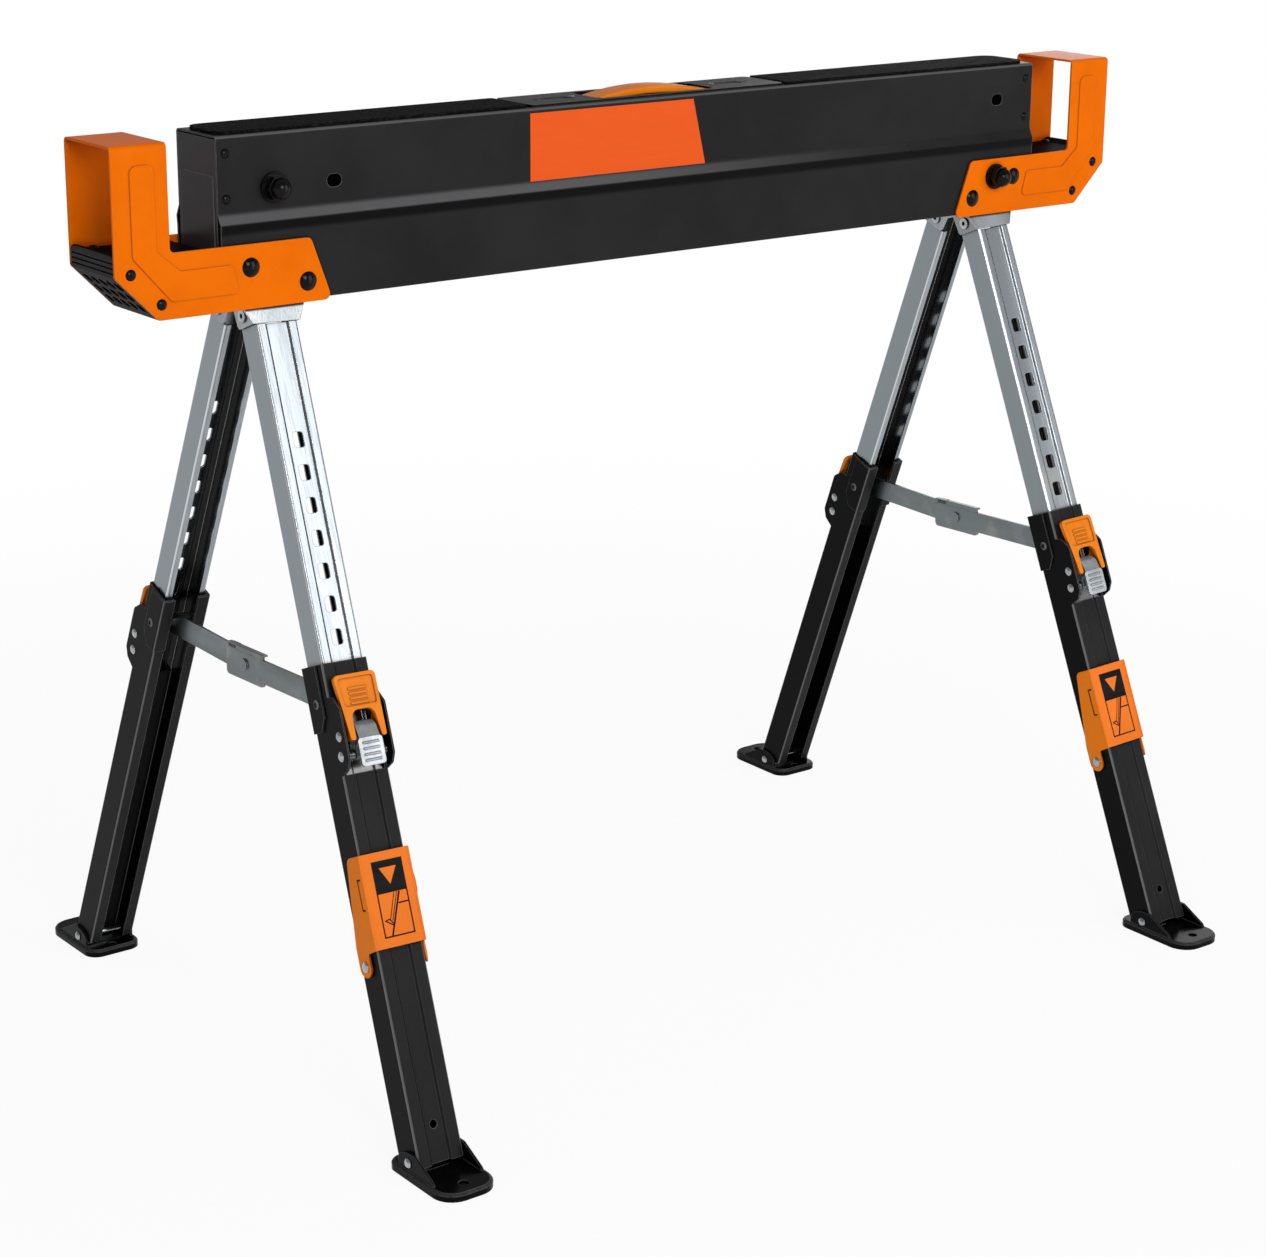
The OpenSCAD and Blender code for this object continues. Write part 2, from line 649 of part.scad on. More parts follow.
module upper_leg(e, s) {
    color("#c4c9cd") at_leg(e, s) difference() {
        union() {
            translate([0, 0, -leg_end]) linear_extrude(leg_end - leg_top)
                polygon(channel(leg_hw, leg_front, leg_back, leg_t, leg_hw - leg_lip));
            both_x() along_x(leg_hw - leg_t, leg_hw) {
                circle(r = leg_ear_r);
                polygon([[-leg_ear_r, 0], [leg_ear_r, 0], [leg_back - 2.2, -leg_top - 1],
                    [leg_front + 2.6, -leg_top - 1]]);
            }
        }
        rod_x(rivet_r + run, -50, 50);
        for (k = [0:hole_count - 1]) translate([0, 0, -(hole_first + k * hole_pitch)]) along_y(-40, 0)
            polygon(rounded([[-hole_w / 2, -hole_h / 2, 2.5], [hole_w / 2, -hole_h / 2, 2.5],
                             [hole_w / 2, hole_h / 2, 2.5], [-hole_w / 2, hole_h / 2, 2.5]]));
        translate([0, anchor_y, -anchor_s]) rod_x(anchor_pin_r + eps, -50, 50);
    }
}

// The lower leg's side walls stand out as two ears that carry the latch
function latch_ear() = [
    [sleeve_front + 4, -(sleeve_top + 27), 0], [sleeve_front - 6, -(sleeve_top + 28), 3],
        [ear_out, -(sleeve_top + 38), 5],
    [ear_out, -(sleeve_top + 80), 5], [sleeve_front - 9, -(sleeve_top + 88), 3],
        [sleeve_front + 4, -(sleeve_top + 93), 0]];

drain_r = 3.5;
drain_up = 26;

module lower_leg(e, s) {
    color("#232325") difference() {
        at_leg(e, s) union() {
            translate([0, 0, -leg_len - 20]) linear_extrude(leg_len + 20 - sleeve_top)
                polygon(channel(sleeve_hw, sleeve_front, sleeve_back, sleeve_t, sleeve_gap));
            both_x() along_x(sleeve_hw - sleeve_t, sleeve_hw) polygon(rounded(latch_ear()));
        }
        at_leg(e, s) {
            along_y(-50, sleeve_front + 6) {
                translate([-window_neck[1], -window_neck[0] - 1])
                    square([2 * window_neck[1], window_neck[0] + 1 - window_top]);
                translate([-window_hw, -window_end]) square([2 * window_hw, window_end - window_neck[0]]);
            }
            translate([0, paddle_pin.x, paddle_pin.y]) rod_x(latch_pin_r + eps, -50, 50);
            translate([0, pawl_pin.x, pawl_pin.y]) rod_x(latch_pin_r + eps, -50, 50);
            translate([0, clip_rivet.x, clip_rivet.y]) rod_x(clip_rivet_r + eps, -50, 50);
            if (s < 0) translate([0, support_y, -support_pin]) rod_x(support_rivet_r + eps, -50, 50);
            translate([0, foot_pin.x, foot_pin.y]) rod_x(foot_pin_r + 0.05, -50, 50);
            translate([0, 0, -leg_len + drain_up]) rod_y(drain_r, -50, 0);
        }
        difference() {
            at_foot(e, s) translate([-60, -60, -100])
                cube([120, 120, 100 - foot_pin_h + foot_t + sleeve_foot_gap]);
            at_leg(e, s) translate([0, foot_pin.x, foot_pin.y]) rod_x(sleeve_ear_r, -50, 50);
        }
    }
}

clip_rivet_r = 2.4;

// A pair of clips that wrap the lower leg's rear edges at its mouth
module guide_clips(e, s) {
    clip_in = sleeve_hw + fit;
    clip_back = sleeve_back + fit;
    section = [[clip_in, clip_front, 0], [clip_in + clip_t, clip_front, 0],
        [clip_in + clip_t, clip_back + clip_t, 2.4],
               [sleeve_gap, clip_back + clip_t, 0], [sleeve_gap, clip_back, 0], [clip_in, clip_back, 0.9]];
    color("#1e1e20") at_leg(e, s) both_x() difference() {
        translate([0, 0, -sleeve_top - clip_len]) linear_extrude(clip_len) polygon(rounded(section));
        along_x(0, 50) polygon([[clip_front - 1, -sleeve_top - clip_len - 1],
            [clip_front + clip_cut[0], -sleeve_top - clip_len - 1],
                [clip_front - 1, clip_cut[1] - sleeve_top - clip_len]]);
    }
    color("#1e1e20") at_leg(e, s) translate([0, clip_rivet.x, clip_rivet.y])
        wall_rivet(clip_rivet_r, sleeve_hw - sleeve_t, sleeve_hw + fit + clip_t, 3.8, 1.6);
}

// Latch paddle: a ribbed thumb plate on two fork arms

// Places along the leg from the middle of the paddle's pin, up the leg
paddle_top = 47.5;
paddle_end = -6;
paddle_arch = 18;
paddle_hw = sleeve_hw - sleeve_t - 0.5;
paddle_tip_hw = 16.6;
paddle_face = -10;      // outer face against the pin
paddle_t = 3.5;
paddle_tilt = 6.5;      // the thumb plate leans towards the leg at rest
arch_hw = 10.5;
arch_tip_hw = 12.2;
arm_hw = [12.9, 16.2];

module paddle_outline() {
    half = [[paddle_hw, paddle_top, 4], [paddle_tip_hw, paddle_end, 2], [arch_tip_hw, paddle_end, 1.6],
        [arch_hw, paddle_arch, 7]];
    polygon(rounded(concat(half, mirrored(half))));
}

// Sunk face inside the paddle's raised border
module paddle_field() {
    half = [[paddle_hw - 3.2, paddle_top - 3, 2.5], [paddle_hw - 4.6, paddle_arch + 3, 2.5]];
    polygon(rounded(concat(half, mirrored(half))));
}

module latch_paddle(e, s) {
    arm = [[paddle_face + 1, paddle_arch + 6, 1], [paddle_face + 5, paddle_arch + 6, 2], [5, 6, 3],
        [5, -4, 3], [paddle_face + 1, paddle_end + 1, 1.5]];
    rim = [[paddle_face + 1, paddle_top - 5, 1], [paddle_face + 4.5, paddle_top - 5, 0.5],
        [paddle_face + 7, paddle_arch, 2], [paddle_face + 1, paddle_arch - 4, 1]];
    color("#ef8418") at_leg(e, s) translate([0, paddle_pin.x, paddle_pin.y]) rotate([-paddle_tilt, 0, 0])
        difference() {
        union() {
            difference() {
                along_y(paddle_face, paddle_face + paddle_t) paddle_outline();
                along_y(paddle_face - 1, paddle_face + 0.9) paddle_field();
            }
            both_x() along_x(arm_hw[0], arm_hw[1]) polygon(rounded(arm));
            both_x() along_x(paddle_tip_hw - 1.8, paddle_tip_hw) polygon(rounded(rim));
            for (k = [0:3]) translate([-8.5, paddle_face + 0.2, paddle_top - 13 - 4 * k]) cube([17, 1, 1.8]);
        }
        rod_x(latch_pin_r + run, -50, 50);
    }
}

// Latch pawl: a curved plate whose thumb end is ribbed and whose nose bears on the height holes

pawl_hw = 9.6;
thumb_hw = 11.4;
thumb_y = [-32.4, -30];
thumb_len = [sleeve_top + 64, sleeve_top + 87];

// Side view of the pawl as a bent strip from its nose over the thumb plate
function pawl_side() = [
    [leg_front + leg_recess - 0.5, -(sleeve_top + 57), 0], [-21, -(sleeve_top + 48), 6],
        [-29, -(sleeve_top + 54), 5],
    [thumb_y[0], -(sleeve_top + 65), 4], [thumb_y[0], -(sleeve_top + 80), 0],
        [thumb_y[1], -(sleeve_top + 80), 0],
    [thumb_y[1], -(sleeve_top + 67), 3], [-27.5, -(sleeve_top + 60), 3],
        [pawl_pin.x - 4.5, pawl_pin.y - 3, 2],
    [pawl_pin.x + 2, pawl_pin.y - 5, 2], [pawl_pin.x + 4.4, pawl_pin.y + 2, 2],
        [leg_front + leg_recess - 0.5, -(sleeve_top + 66), 0]];

module latch_pawl(e, s) {
    color("#ccd1d5") at_leg(e, s) difference() {
        union() {
            along_x(-pawl_hw, pawl_hw) polygon(rounded(pawl_side(), 4));
            along_y(thumb_y[0], thumb_y[1]) polygon(rounded(
                [[-thumb_hw, -thumb_len[0], 3], [thumb_hw, -thumb_len[0], 3],
                 [thumb_hw, -thumb_len[1], 3], [-thumb_hw, -thumb_len[1], 3]]));
            for (k = [0:3]) translate([0, thumb_y[0], -(thumb_len[0] + 4.5 + 4.7 * k)])
                rod_x(1, 2 - pawl_hw, pawl_hw - 2);
        }
        translate([0, pawl_pin.x, pawl_pin.y]) rod_x(latch_pin_r + run, -50, 50);
        both_x() translate([hole_w / 2 - 1, leg_front - 2.5, -(sleeve_top + 67)]) cube([20, 30, 20]);
    }
}

// Pins and rivets of a lower leg
support_rivet_r = 3;

module through_pin(r, half, head_r, head_h) {
    rod_x(r, -half - eps, half + eps);
    both_x() translate([half, 0, 0]) rotate([0, 0, 90]) button_head(head_r, head_h);
}

module wall_rivet(r, inner, outer, head_r, head_h) {
    both_x() {
        rod_x(r, inner, outer + eps);
        translate([outer, 0, 0]) rotate([0, 0, 90]) button_head(head_r, head_h);
    }
}

module leg_pins(e, s) {
    inner = sleeve_hw - sleeve_t;
    color("#d3d6d8") at_leg(e, s) {
        translate([0, paddle_pin.x, paddle_pin.y]) wall_rivet(latch_pin_r, arm_hw[0] - 0.4, sleeve_hw,
            4.4, 1.8);
        translate([0, pawl_pin.x, pawl_pin.y]) through_pin(latch_pin_r, sleeve_hw, 4.4, 1.8);
        if (s < 0) translate([0, support_y, -support_pin])
            wall_rivet(support_rivet_r, inner, support_hw + 0.3, 5, 1.8);
        translate([0, foot_pin.x, foot_pin.y]) through_pin(foot_pin_r, foot_ear_in + foot_ear_t + 0.5,
            4.4, 2.2);
    }
}

// Feet

// Plan of the foot's base, drawn in by inset on every side
function foot_plan(inset) = let (hw = foot_w / 2 - inset) [
    [-hw, inset - foot_out, 19 - inset], [hw, inset - foot_out, 19 - inset],
    [hw, foot_in - inset, 13 - inset], [-hw, foot_in - inset, 13 - inset]];

foot_bevel = [[0, foot_t - 2], [0.8, foot_t - 0.8], [2.2, foot_t]];     // inset and height of each edge step
foot_holes = [[-foot_out + 15, 4.2], [foot_in - 9, 3.2]];               // place and radius

module foot(e, s) {
    low = foot_t - foot_pin_h - 0.5;
    ear = [[15, low, 0], [15, 5, 8], [2, 9.5, 7], [-9, 9.5, 5], [-34, low + 3, 3], [-36, low, 0]];
    color("#161617") difference() {
        at_foot(e, s) difference() {
            union() {
                for (b = foot_bevel) translate([0, 0, -foot_pin_h]) linear_extrude(b[1])
                    polygon(rounded(foot_plan(b[0]), 8));
                both_x() along_x(foot_ear_in, foot_ear_in + foot_ear_t) polygon(rounded(ear));
            }
            for (h = foot_holes) translate([0, h[0], -foot_pin_h - 1]) cylinder(r = h[1], h = foot_t + 2);
            translate([-foot_ear_in, -8.5, -sleeve_ear_r - 0.9]) cube([2 * foot_ear_in, 17, 20]);
        }
        at_leg(e, s) translate([0, foot_pin.x, foot_pin.y]) rod_x(foot_pin_r + run, -50, 50);
    }
}

// Material supports on the front legs

support_slot = [26, 1.4];       // height and width of the bent slit in each cheek
support_hook = 4;

module material_support(e) {
    lobe = 9;
    slit_z = -(support_top + support_low) / 2 + 7;
    cheek = [[support_front - support_t, -support_top, 0], [0, -support_top - 1, 6],
             [support_y + lobe, -support_pin + 16, 8], [support_y + lobe, -support_pin - lobe, 8.6],
             [support_y - lobe + 1, -support_pin - lobe, 8.2], [support_y - lobe + 1, -support_low - 2, 2],
             [support_front - support_t, -support_low, 0]];
    section = [[support_in, 6, 0], [support_hw, 6, 0], [support_hw, support_front - support_t, 2.8],
               [-support_hw, support_front - support_t, 2.8], [-support_hw, 6, 0], [-support_in, 6, 0],
               [-support_in, support_front, 1], [support_in, support_front, 1]];
    color("#f07c1e") at_leg(e, -1) difference() {
        union() {
            translate([0, 0, -support_low]) linear_extrude(support_len) polygon(rounded(section));
            both_x() along_x(support_in, support_hw) polygon(rounded(cheek));
        }
        both_x() translate([support_in - 1, 0, 0]) along_x(0, 10) difference() {
            translate([support_front + 1, -support_low - 1]) square([40, support_len + 20]);
            polygon(rounded(cheek));
        }
        both_x() translate([0, support_front + 6, slit_z]) along_x(support_in - 1, support_hw + 1) {
            square([support_slot[1], support_slot[0]], center = true);
            for (z = [-1, 1]) translate([-support_hook / 2, z * (support_slot[0] - support_slot[1]) / 2])
                square([support_hook, support_slot[1]], center = true);
        }
        translate([0, support_y, -support_pin]) rod_x(support_rivet_r + run, -50, 50);
    }
}

// Spreaders

// Where a link lies across the leg, in the pair's frame: the front link laps the rear one
function link_x0(s) = s < 0 ? -lap_x - link_t - link_gap / 2 : -lap_x + link_gap / 2;
// The same in a leg's own frame, which is turned round on the rear legs
function leg_x0(s, x0, t) = s < 0 ? x0 : -x0 - t;

// Pin across the upper leg, with a spacer on each side of the link that hangs on it
module spreader_pin(e, s) {
    wall = leg_hw - leg_t - fit;
    x0 = leg_x0(s, link_x0(s), link_t);
    color("#9aa3a8") at_leg(e, s) translate([0, anchor_y, -anchor_s]) {
        rod_x(anchor_pin_r, -leg_hw, leg_hw);
        rod_x(spacer_r, -wall, x0 - spacer_gap);
        rod_x(spacer_r, x0 + link_t + spacer_gap, wall);
    }
}

lap_len = 30;       // how far the front link's lap plate reaches past the middle rivet
lap_grow = 4;       // the lap plate is this much taller below
stop_len = 12;
stop_start = 14;
stop_z = link_h / 2 + (stop_start + stop_len) * tan(2 * link_dip) + link_gap;      // the tab's underside
middle_rivet_r = 3.2;

// One link in its own frame: pin at the origin, running along +Y to the middle rivet
module link_strip(s) {
    h = link_h / 2;
    far = link_len + (s < 0 ? lap_len : h);
    outline = s < 0
        ? [[0, h, 0], [link_len + lap_len, h, 1], [link_len + lap_len, -h - lap_grow, 4],
            [link_len - lap_len, -h - lap_grow, 4],
           [link_len - lap_len - 1, -h, 0], [0, -h, 0]]
        : [[0, h, 0], [far, h, h - 0.2], [far, -h, h - 0.2], [0, -h, 0]];
    union() {
        circle(r = h);
        polygon(rounded(outline));
    }
}

module spreader_link(e, s) {
    x0 = link_x0(s);
    head_x = s < 0 ? x0 - 1.5 : x0 + link_t - eps;
    color("#aab2b4") at_pair(e) translate([0, s * anchor_span, anchor_z])
        rotate([s < 0 ? -link_dip : link_dip, 0, 0]) {
        difference() {
            union() {
                mirror([0, s < 0 ? 0 : 1, 0]) along_x(x0, x0 + link_t) link_strip(s);
                if (s < 0) translate([x0, link_len + stop_start, 0]) {
                    translate([0, 0, link_h / 2 - eps])
                        cube([link_t, stop_len, stop_z + link_t - link_h / 2]);
                    translate([0, 0, stop_z]) cube([2 * link_t + link_gap, stop_len, link_t]);
                }
            }
            rod_x(anchor_pin_r + run, -50, 50);
        }
        translate([0, -s * link_len, 0]) translate([head_x, 0, 0]) rod_x(middle_rivet_r + 1.8, 0, 1.5 + eps);
    }
}

// Nodes

beam_shell();
end_caps();
grip_pads();
handle_tray();
carry_handle();
handle_blocks();
stop_bracket(-1);  // stop_bracket_left
stop_bracket(1);  // stop_bracket_right
corner_blocks();
bracket_bolts();
small_screws();
pivot_bolts();
dome_nuts();
yoke(-1);  // yoke_left
yoke(1);  // yoke_right
hinge_rivets(-1);  // hinge_rivets_left
hinge_rivets(1);  // hinge_rivets_right
material_support(-1);  // material_support_front_left
material_support(1);  // material_support_front_right
for (i = [0:3]) {
    e = leg_end_of(i);
    s = leg_side_of(i);
    upper_leg(e, s);
    lower_leg(e, s);
    guide_clips(e, s);
    latch_paddle(e, s);
    latch_pawl(e, s);
    leg_pins(e, s);
    foot(e, s);
    spreader_pin(e, s);
    spreader_link(e, s);
}
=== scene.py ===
import math

import bmesh
import bpy
from mathutils import Matrix, Vector


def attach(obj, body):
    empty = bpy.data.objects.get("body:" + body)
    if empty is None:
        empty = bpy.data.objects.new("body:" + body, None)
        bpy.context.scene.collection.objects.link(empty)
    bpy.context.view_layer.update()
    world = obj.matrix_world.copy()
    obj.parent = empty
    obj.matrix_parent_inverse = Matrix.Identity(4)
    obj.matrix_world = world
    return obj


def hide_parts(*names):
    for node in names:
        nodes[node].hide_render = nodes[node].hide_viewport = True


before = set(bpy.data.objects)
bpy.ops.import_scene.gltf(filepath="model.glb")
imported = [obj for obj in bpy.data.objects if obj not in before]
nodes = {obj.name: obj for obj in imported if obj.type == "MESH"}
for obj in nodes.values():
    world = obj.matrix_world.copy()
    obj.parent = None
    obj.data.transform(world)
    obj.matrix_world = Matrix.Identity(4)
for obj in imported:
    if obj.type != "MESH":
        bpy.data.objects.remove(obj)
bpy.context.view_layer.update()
scene = bpy.context.scene
print("frame loaded:", len(nodes), "nodes")

# the leg frames repeat the CAD sizes, in millimetres
legSizes = {"lean": 2.0, "splay": 22.0, "pairX": 397.0, "hingeY": 20.0, "footPinH": 12.5, "legLen": 692.0,
            "pinIn": -5.0, "beamRise": 148.0}
legNames = {"front_left": (-1, -1), "front_right": (1, -1), "rear_left": (-1, 1), "rear_right": (1, 1)}
lean = math.radians(legSizes["lean"])
splay = math.radians(legSizes["splay"])
hingeZ = legSizes["footPinH"] + math.cos(lean) * (
    legSizes["legLen"] * math.cos(splay) + legSizes["pinIn"] * math.sin(splay))
topZ = hingeZ + legSizes["beamRise"]
mm = Matrix.Scale(0.001, 4)


def pairFrame(end):
    # millimetres about a pair's hinge line, to metres in the scene
    return (mm @ Matrix.Translation((end * legSizes["pairX"], 0, hingeZ))
            @ Matrix.Rotation(-end * lean, 4, "Y"))


def legFrame(name):
    # millimetres about one leg's hinge rivet: -Z down the leg, -Y to its outer side
    end, side = legNames[name]
    turned = Matrix.Rotation(0 if side < 0 else math.pi, 4, "Z")
    return (pairFrame(end) @ Matrix.Translation((0, side * legSizes["hingeY"], 0))
            @ Matrix.Rotation(side * splay, 4, "X") @ turned)


class Wire:
    # a socket that takes Python arithmetic; each operation adds one Math node
    def __init__(self, tree, socket):
        self.tree = tree
        self.socket = socket

    def math(self, operation, first, second):
        step = self.tree.nodes.new("ShaderNodeMath")
        step.operation = operation
        for slot, value in zip(step.inputs, (first, second)):
            if isinstance(value, Wire):
                self.tree.links.new(value.socket, slot)
            else:
                slot.default_value = value
        return Wire(self.tree, step.outputs[0])

    def __add__(self, other):
        return self.math("ADD", self, other)

    def __radd__(self, other):
        return self.math("ADD", other, self)

    def __sub__(self, other):
        return self.math("SUBTRACT", self, other)

    def __rsub__(self, other):
        return self.math("SUBTRACT", other, self)

    def __mul__(self, other):
        return self.math("MULTIPLY", self, other)

    def __rmul__(self, other):
        return self.math("MULTIPLY", other, self)

    def lowest(self, other):
        return self.math("MINIMUM", self, other)

    def size(self):
        return self.math("ABSOLUTE", self, 0.0)

    def sign(self):
        return self.math("SIGN", self, 0.0)


# how far a leg's bends and sides look along X, and millimetres across the leg to its corners and to the
# groove that takes a painted shade line
legLook = {"bendFrom": (0.42, 0.66), "bendTo": (0.94, 0.82), "sideFrom": (0.96, 0.99),
           "cornerFrom": (14.0, 17.0), "grooveLeft": (-12.5, -11.5), "grooveRight": (-7.5, -8.5)}


class Finish:
    # one material: its Principled shader, and a method that adds any other node
    def __init__(self, name):
        self.material = bpy.data.materials.new(name)
        self.material.use_nodes = True
        self.tree = self.material.node_tree
        self.shader = self.tree.nodes["Principled BSDF"]
        self.place = self.node("ShaderNodeTexCoord", out="Object")

    def node(self, kind, settings=None, inputs=None, out=0):
        made = self.tree.nodes.new(kind)
        for key, value in (settings or {}).items():
            setattr(made, key, value)
        for key, value in (inputs or {}).items():
            self.plug(made.inputs[key], value)
        return Wire(self.tree, made.outputs[out])

    def plug(self, slot, value):
        if isinstance(value, Wire):
            self.tree.links.new(value.socket, slot)
        else:
            slot.default_value = value

    def set(self, **values):
        names = {"base": "Base Color", "rough": "Roughness", "metal": "Metallic", "normal": "Normal",
                 "specular": "Specular IOR Level"}
        for key, value in values.items():
            self.plug(self.shader.inputs[names[key]], value)

    def along(self, axis):
        # place along one axis, in metres
        return self.node("ShaderNodeSeparateXYZ", inputs={"Vector": self.place}, out=axis)

    def facing(self, axis):
        # how far a face looks along one axis, -1 to 1
        normal = self.node("ShaderNodeTexCoord", out="Normal")
        return self.node("ShaderNodeSeparateXYZ", inputs={"Vector": normal}, out=axis)

    def noise(self, scale, detail=3.0, rough=0.55, stretch=None, place=None):
        place = place or self.place
        if stretch:
            place = self.node("ShaderNodeMapping", inputs={"Vector": place, "Scale": stretch})
        return self.node("ShaderNodeTexNoise", inputs={
            "Vector": place, "Scale": scale, "Detail": detail, "Roughness": rough}, out="Fac")

    def cells(self, scale, out):
        return self.node("ShaderNodeTexVoronoi", {"feature": "F1"}, {
            "Vector": self.place, "Scale": scale}, out=out)

    def band(self, value, low, high):
        # 0 at low and 1 at high, smooth between; it falls where low is the larger one
        return self.node("ShaderNodeMapRange", {"interpolation_type": "SMOOTHSTEP"}, {
            "Value": value, "From Min": low, "From Max": high, "To Min": 0.0, "To Max": 1.0})

    def blend(self, factor, first, second):
        return self.node("ShaderNodeMix", {"data_type": "RGBA"}, {0: factor, 6: first, 7: second}, out=2)

    def shades(self, clouds, look):
        # the look's dark and light colours, mixed by a cloud pattern
        return self.blend(self.band(clouds, 0.3, 0.7), look["dark"], look["light"])

    def roundEdge(self, radius):
        return self.node("ShaderNodeBevel", {"samples": 4}, {"Radius": radius})

    def edgeMask(self, rounded, low=0.008, high=0.12):
        # 1 along the edges that roundEdge softens
        flat = self.node("ShaderNodeNewGeometry", out="Normal")
        same = self.node("ShaderNodeVectorMath", {"operation": "DOT_PRODUCT"}, {0: rounded, 1: flat},
                         out="Value")
        return self.band(1 - same, low, high)

    def openness(self, reach):
        # 1 on open faces, less in corners and grooves within reach
        return self.node("ShaderNodeAmbientOcclusion", {"samples": 6}, {"Distance": reach}, out="AO")

    def bends(self):
        # 1 on the long bends of a leg, whose faces look partly along X, and 1 on its sides
        across = self.facing("X").size()
        bent = self.band(across, *legLook["bendFrom"]) * self.band(across, *legLook["bendTo"])
        return bent, self.band(across, *legLook["sideFrom"])

    def acrossLeg(self):
        # millimetres to the right of the middle line of a leg, which leans outward towards its foot
        x = self.along("X")
        middle = legSizes["pairX"] * 0.001 + (hingeZ * 0.001 - self.along("Z")) * math.tan(lean)
        return (x - middle * x.sign()) * 1000.0

    def legLines(self, colour, look):
        # painted highlights on the corner bends of a leg, a painted shade line in one groove, and painted
        # shade on its sides
        bends, sides = self.bends()
        across = self.acrossLeg()
        corner = bends * self.band(across.size(), *legLook["cornerFrom"])
        grooveShade = bends * self.band(across, *legLook["grooveLeft"])
        grooveShade = grooveShade * self.band(across, *legLook["grooveRight"])
        colour = self.blend(sides, colour, look["sideShadingColour"])
        colour = self.blend(corner, colour, look["bendHighlightColour"])
        return self.blend(grooveShade, colour, look["grooveShadeColour"])

    def legPlace(self):
        # across, depth and length of a leg; the rear legs mirror the front ones
        outward = self.along("Y").size()
        height = self.along("Z")
        depth = outward * math.cos(splay) + height * math.sin(splay)
        length = outward * math.sin(splay) - height * math.cos(splay)
        return self.node("ShaderNodeCombineXYZ", inputs={"X": self.along("X"), "Y": depth, "Z": length})

    def bump(self, height, strength, distance, normal):
        return self.node("ShaderNodeBump", inputs={
            "Height": height, "Strength": strength, "Distance": distance, "Normal": normal})


def rgba(red, green, blue):
    return (red, green, blue, 1.0)


def powderCoat(name, look):
    # sprayed and baked coat: orange peel, faint clouding, worn bright in patches along the folds; painted
    # highlights along the edges and painted shade in the creases
    f = Finish(name)
    clouds = f.noise(look["cloudScale"], 4.0)
    peel = f.noise(look["peelScale"], 2.0)
    scuffs = f.band(f.noise(look["scuffScale"], 6.0, 0.7, look["scuffStretch"]), *look["scuffFrom"])
    rounded = f.roundEdge(look["edge"])
    edges = f.edgeMask(rounded)
    worn = edges * f.band(f.noise(look["wearScale"], 4.0), *look["wearFrom"]) * look["wear"]
    colour = f.shades(clouds, look)
    if "shoulderFrom" in look:
        # painted highlight on the beam's top front edge and on the sloping shoulder, fading along the beam,
        # and painted shade under the shoulder's rolled edge
        height = f.along("Z")
        above = f.band(height, *look["shoulderFrom"])
        shoulderHighlight = above * f.band(height, *look["shoulderTo"]) * f.band(f.along("X"), *look["shoulderFade"])
        under = f.band(height, *look["underFrom"]) * (1 - above)
        upward = f.facing("Z")
        rolled = f.band(upward, *look["rolledFrom"]) * f.band(upward, *look["rolledTo"])
        rim = rolled * f.band(height, *look["rimFrom"])
        colour = f.blend(rim, colour, look["rimHighlightColour"])
        colour = f.blend(shoulderHighlight, colour, look["shoulderHighlightColour"])
        colour = f.blend(under, colour, look["underShadeColour"])
    # painted shade in corners and creases, darker where the surroundings close in
    openness = f.openness(look["crease"])
    colour = f.blend(f.band(openness, *look["creaseFrom"]), colour, look["creaseShadeColour"])
    if "bendHighlightColour" in look:
        colour = f.legLines(colour, look)
    # painted light: the support's sides are painted lighter than its front
    elif "sideShadingColour" in look:
        colour = f.blend(f.bends()[1], colour, look["sideShadingColour"])
    # painted highlight along the edges
    colour = f.blend(edges * look["edgeShading"], colour, look["edgeShadingColour"])
    colour = f.blend(worn, colour, look["wornColour"])
    uneven = (clouds - 0.5) * look["cloudRough"] + scuffs * look["scuffRough"]
    height = peel + scuffs * look["scuffDepth"]
    f.set(base=colour, rough=look["rough"] + uneven,
          normal=f.bump(height, look["peel"], look["depth"], rounded), specular=look["specular"])
    return f.material


def below(*drops):
    # heights in metres, from millimetres under the beam's top
    return [(topZ - drop) * 0.001 for drop in drops]


# what every sprayed coat shares; each pair of limits is where a pattern begins to show and shows fully
sprayed = {"scuffScale": 38.0, "scuffStretch": (1.0, 1.0, 3.2), "scuffFrom": (0.66, 0.74), "scuffRough": 0.1,
           "scuffDepth": 0.25, "wearScale": 60.0, "wearFrom": (0.42, 0.62), "creaseFrom": (0.92, 0.55),
           "cloudRough": 0.12, "depth": 0.00025}
blackCoat = dict(sprayed, dark=rgba(0.0115, 0.0115, 0.0122), light=rgba(0.017, 0.017, 0.018), rough=0.34,
                 cloudScale=9.0, peelScale=950.0, peel=0.16, edge=0.0009, wear=0.10, specular=0.06,
                 edgeShading=0.8, edgeShadingColour=rgba(0.24, 0.24, 0.245), wornColour=rgba(0.24, 0.24, 0.25),
                 crease=0.006, creaseShadeColour=rgba(0.002, 0.002, 0.0022))
# the beam's coat also takes a painted highlight on its shoulder and top edge and a painted shade under the
# shoulder's rolled edge
shellCoat = dict(blackCoat, shoulderFrom=below(71.0, 69.2), shoulderTo=below(60.8, 64.4),
                 shoulderFade=(0.32, -0.12), shoulderHighlightColour=rgba(0.085, 0.085, 0.088),
                 underFrom=below(80.0, 76.0), underShadeColour=rgba(0.0022, 0.0022, 0.0024),
                 rolledFrom=(0.2, 0.45), rolledTo=(0.97, 0.85), rimFrom=below(31.4, 21.4),
                 rimHighlightColour=rgba(0.085, 0.085, 0.087))
# the black leg coat takes painted highlights on its bends, a painted shade line in one groove and painted
# shade on its sides
sleeveCoat = dict(blackCoat, specular=0.04, sideShadingColour=rgba(0.004, 0.004, 0.0042),
                  dark=rgba(0.0145, 0.0145, 0.0155), light=rgba(0.0205, 0.0205, 0.0215),
                  bendHighlightColour=rgba(0.17, 0.17, 0.175), grooveShadeColour=rgba(0.0012, 0.0012, 0.0013))
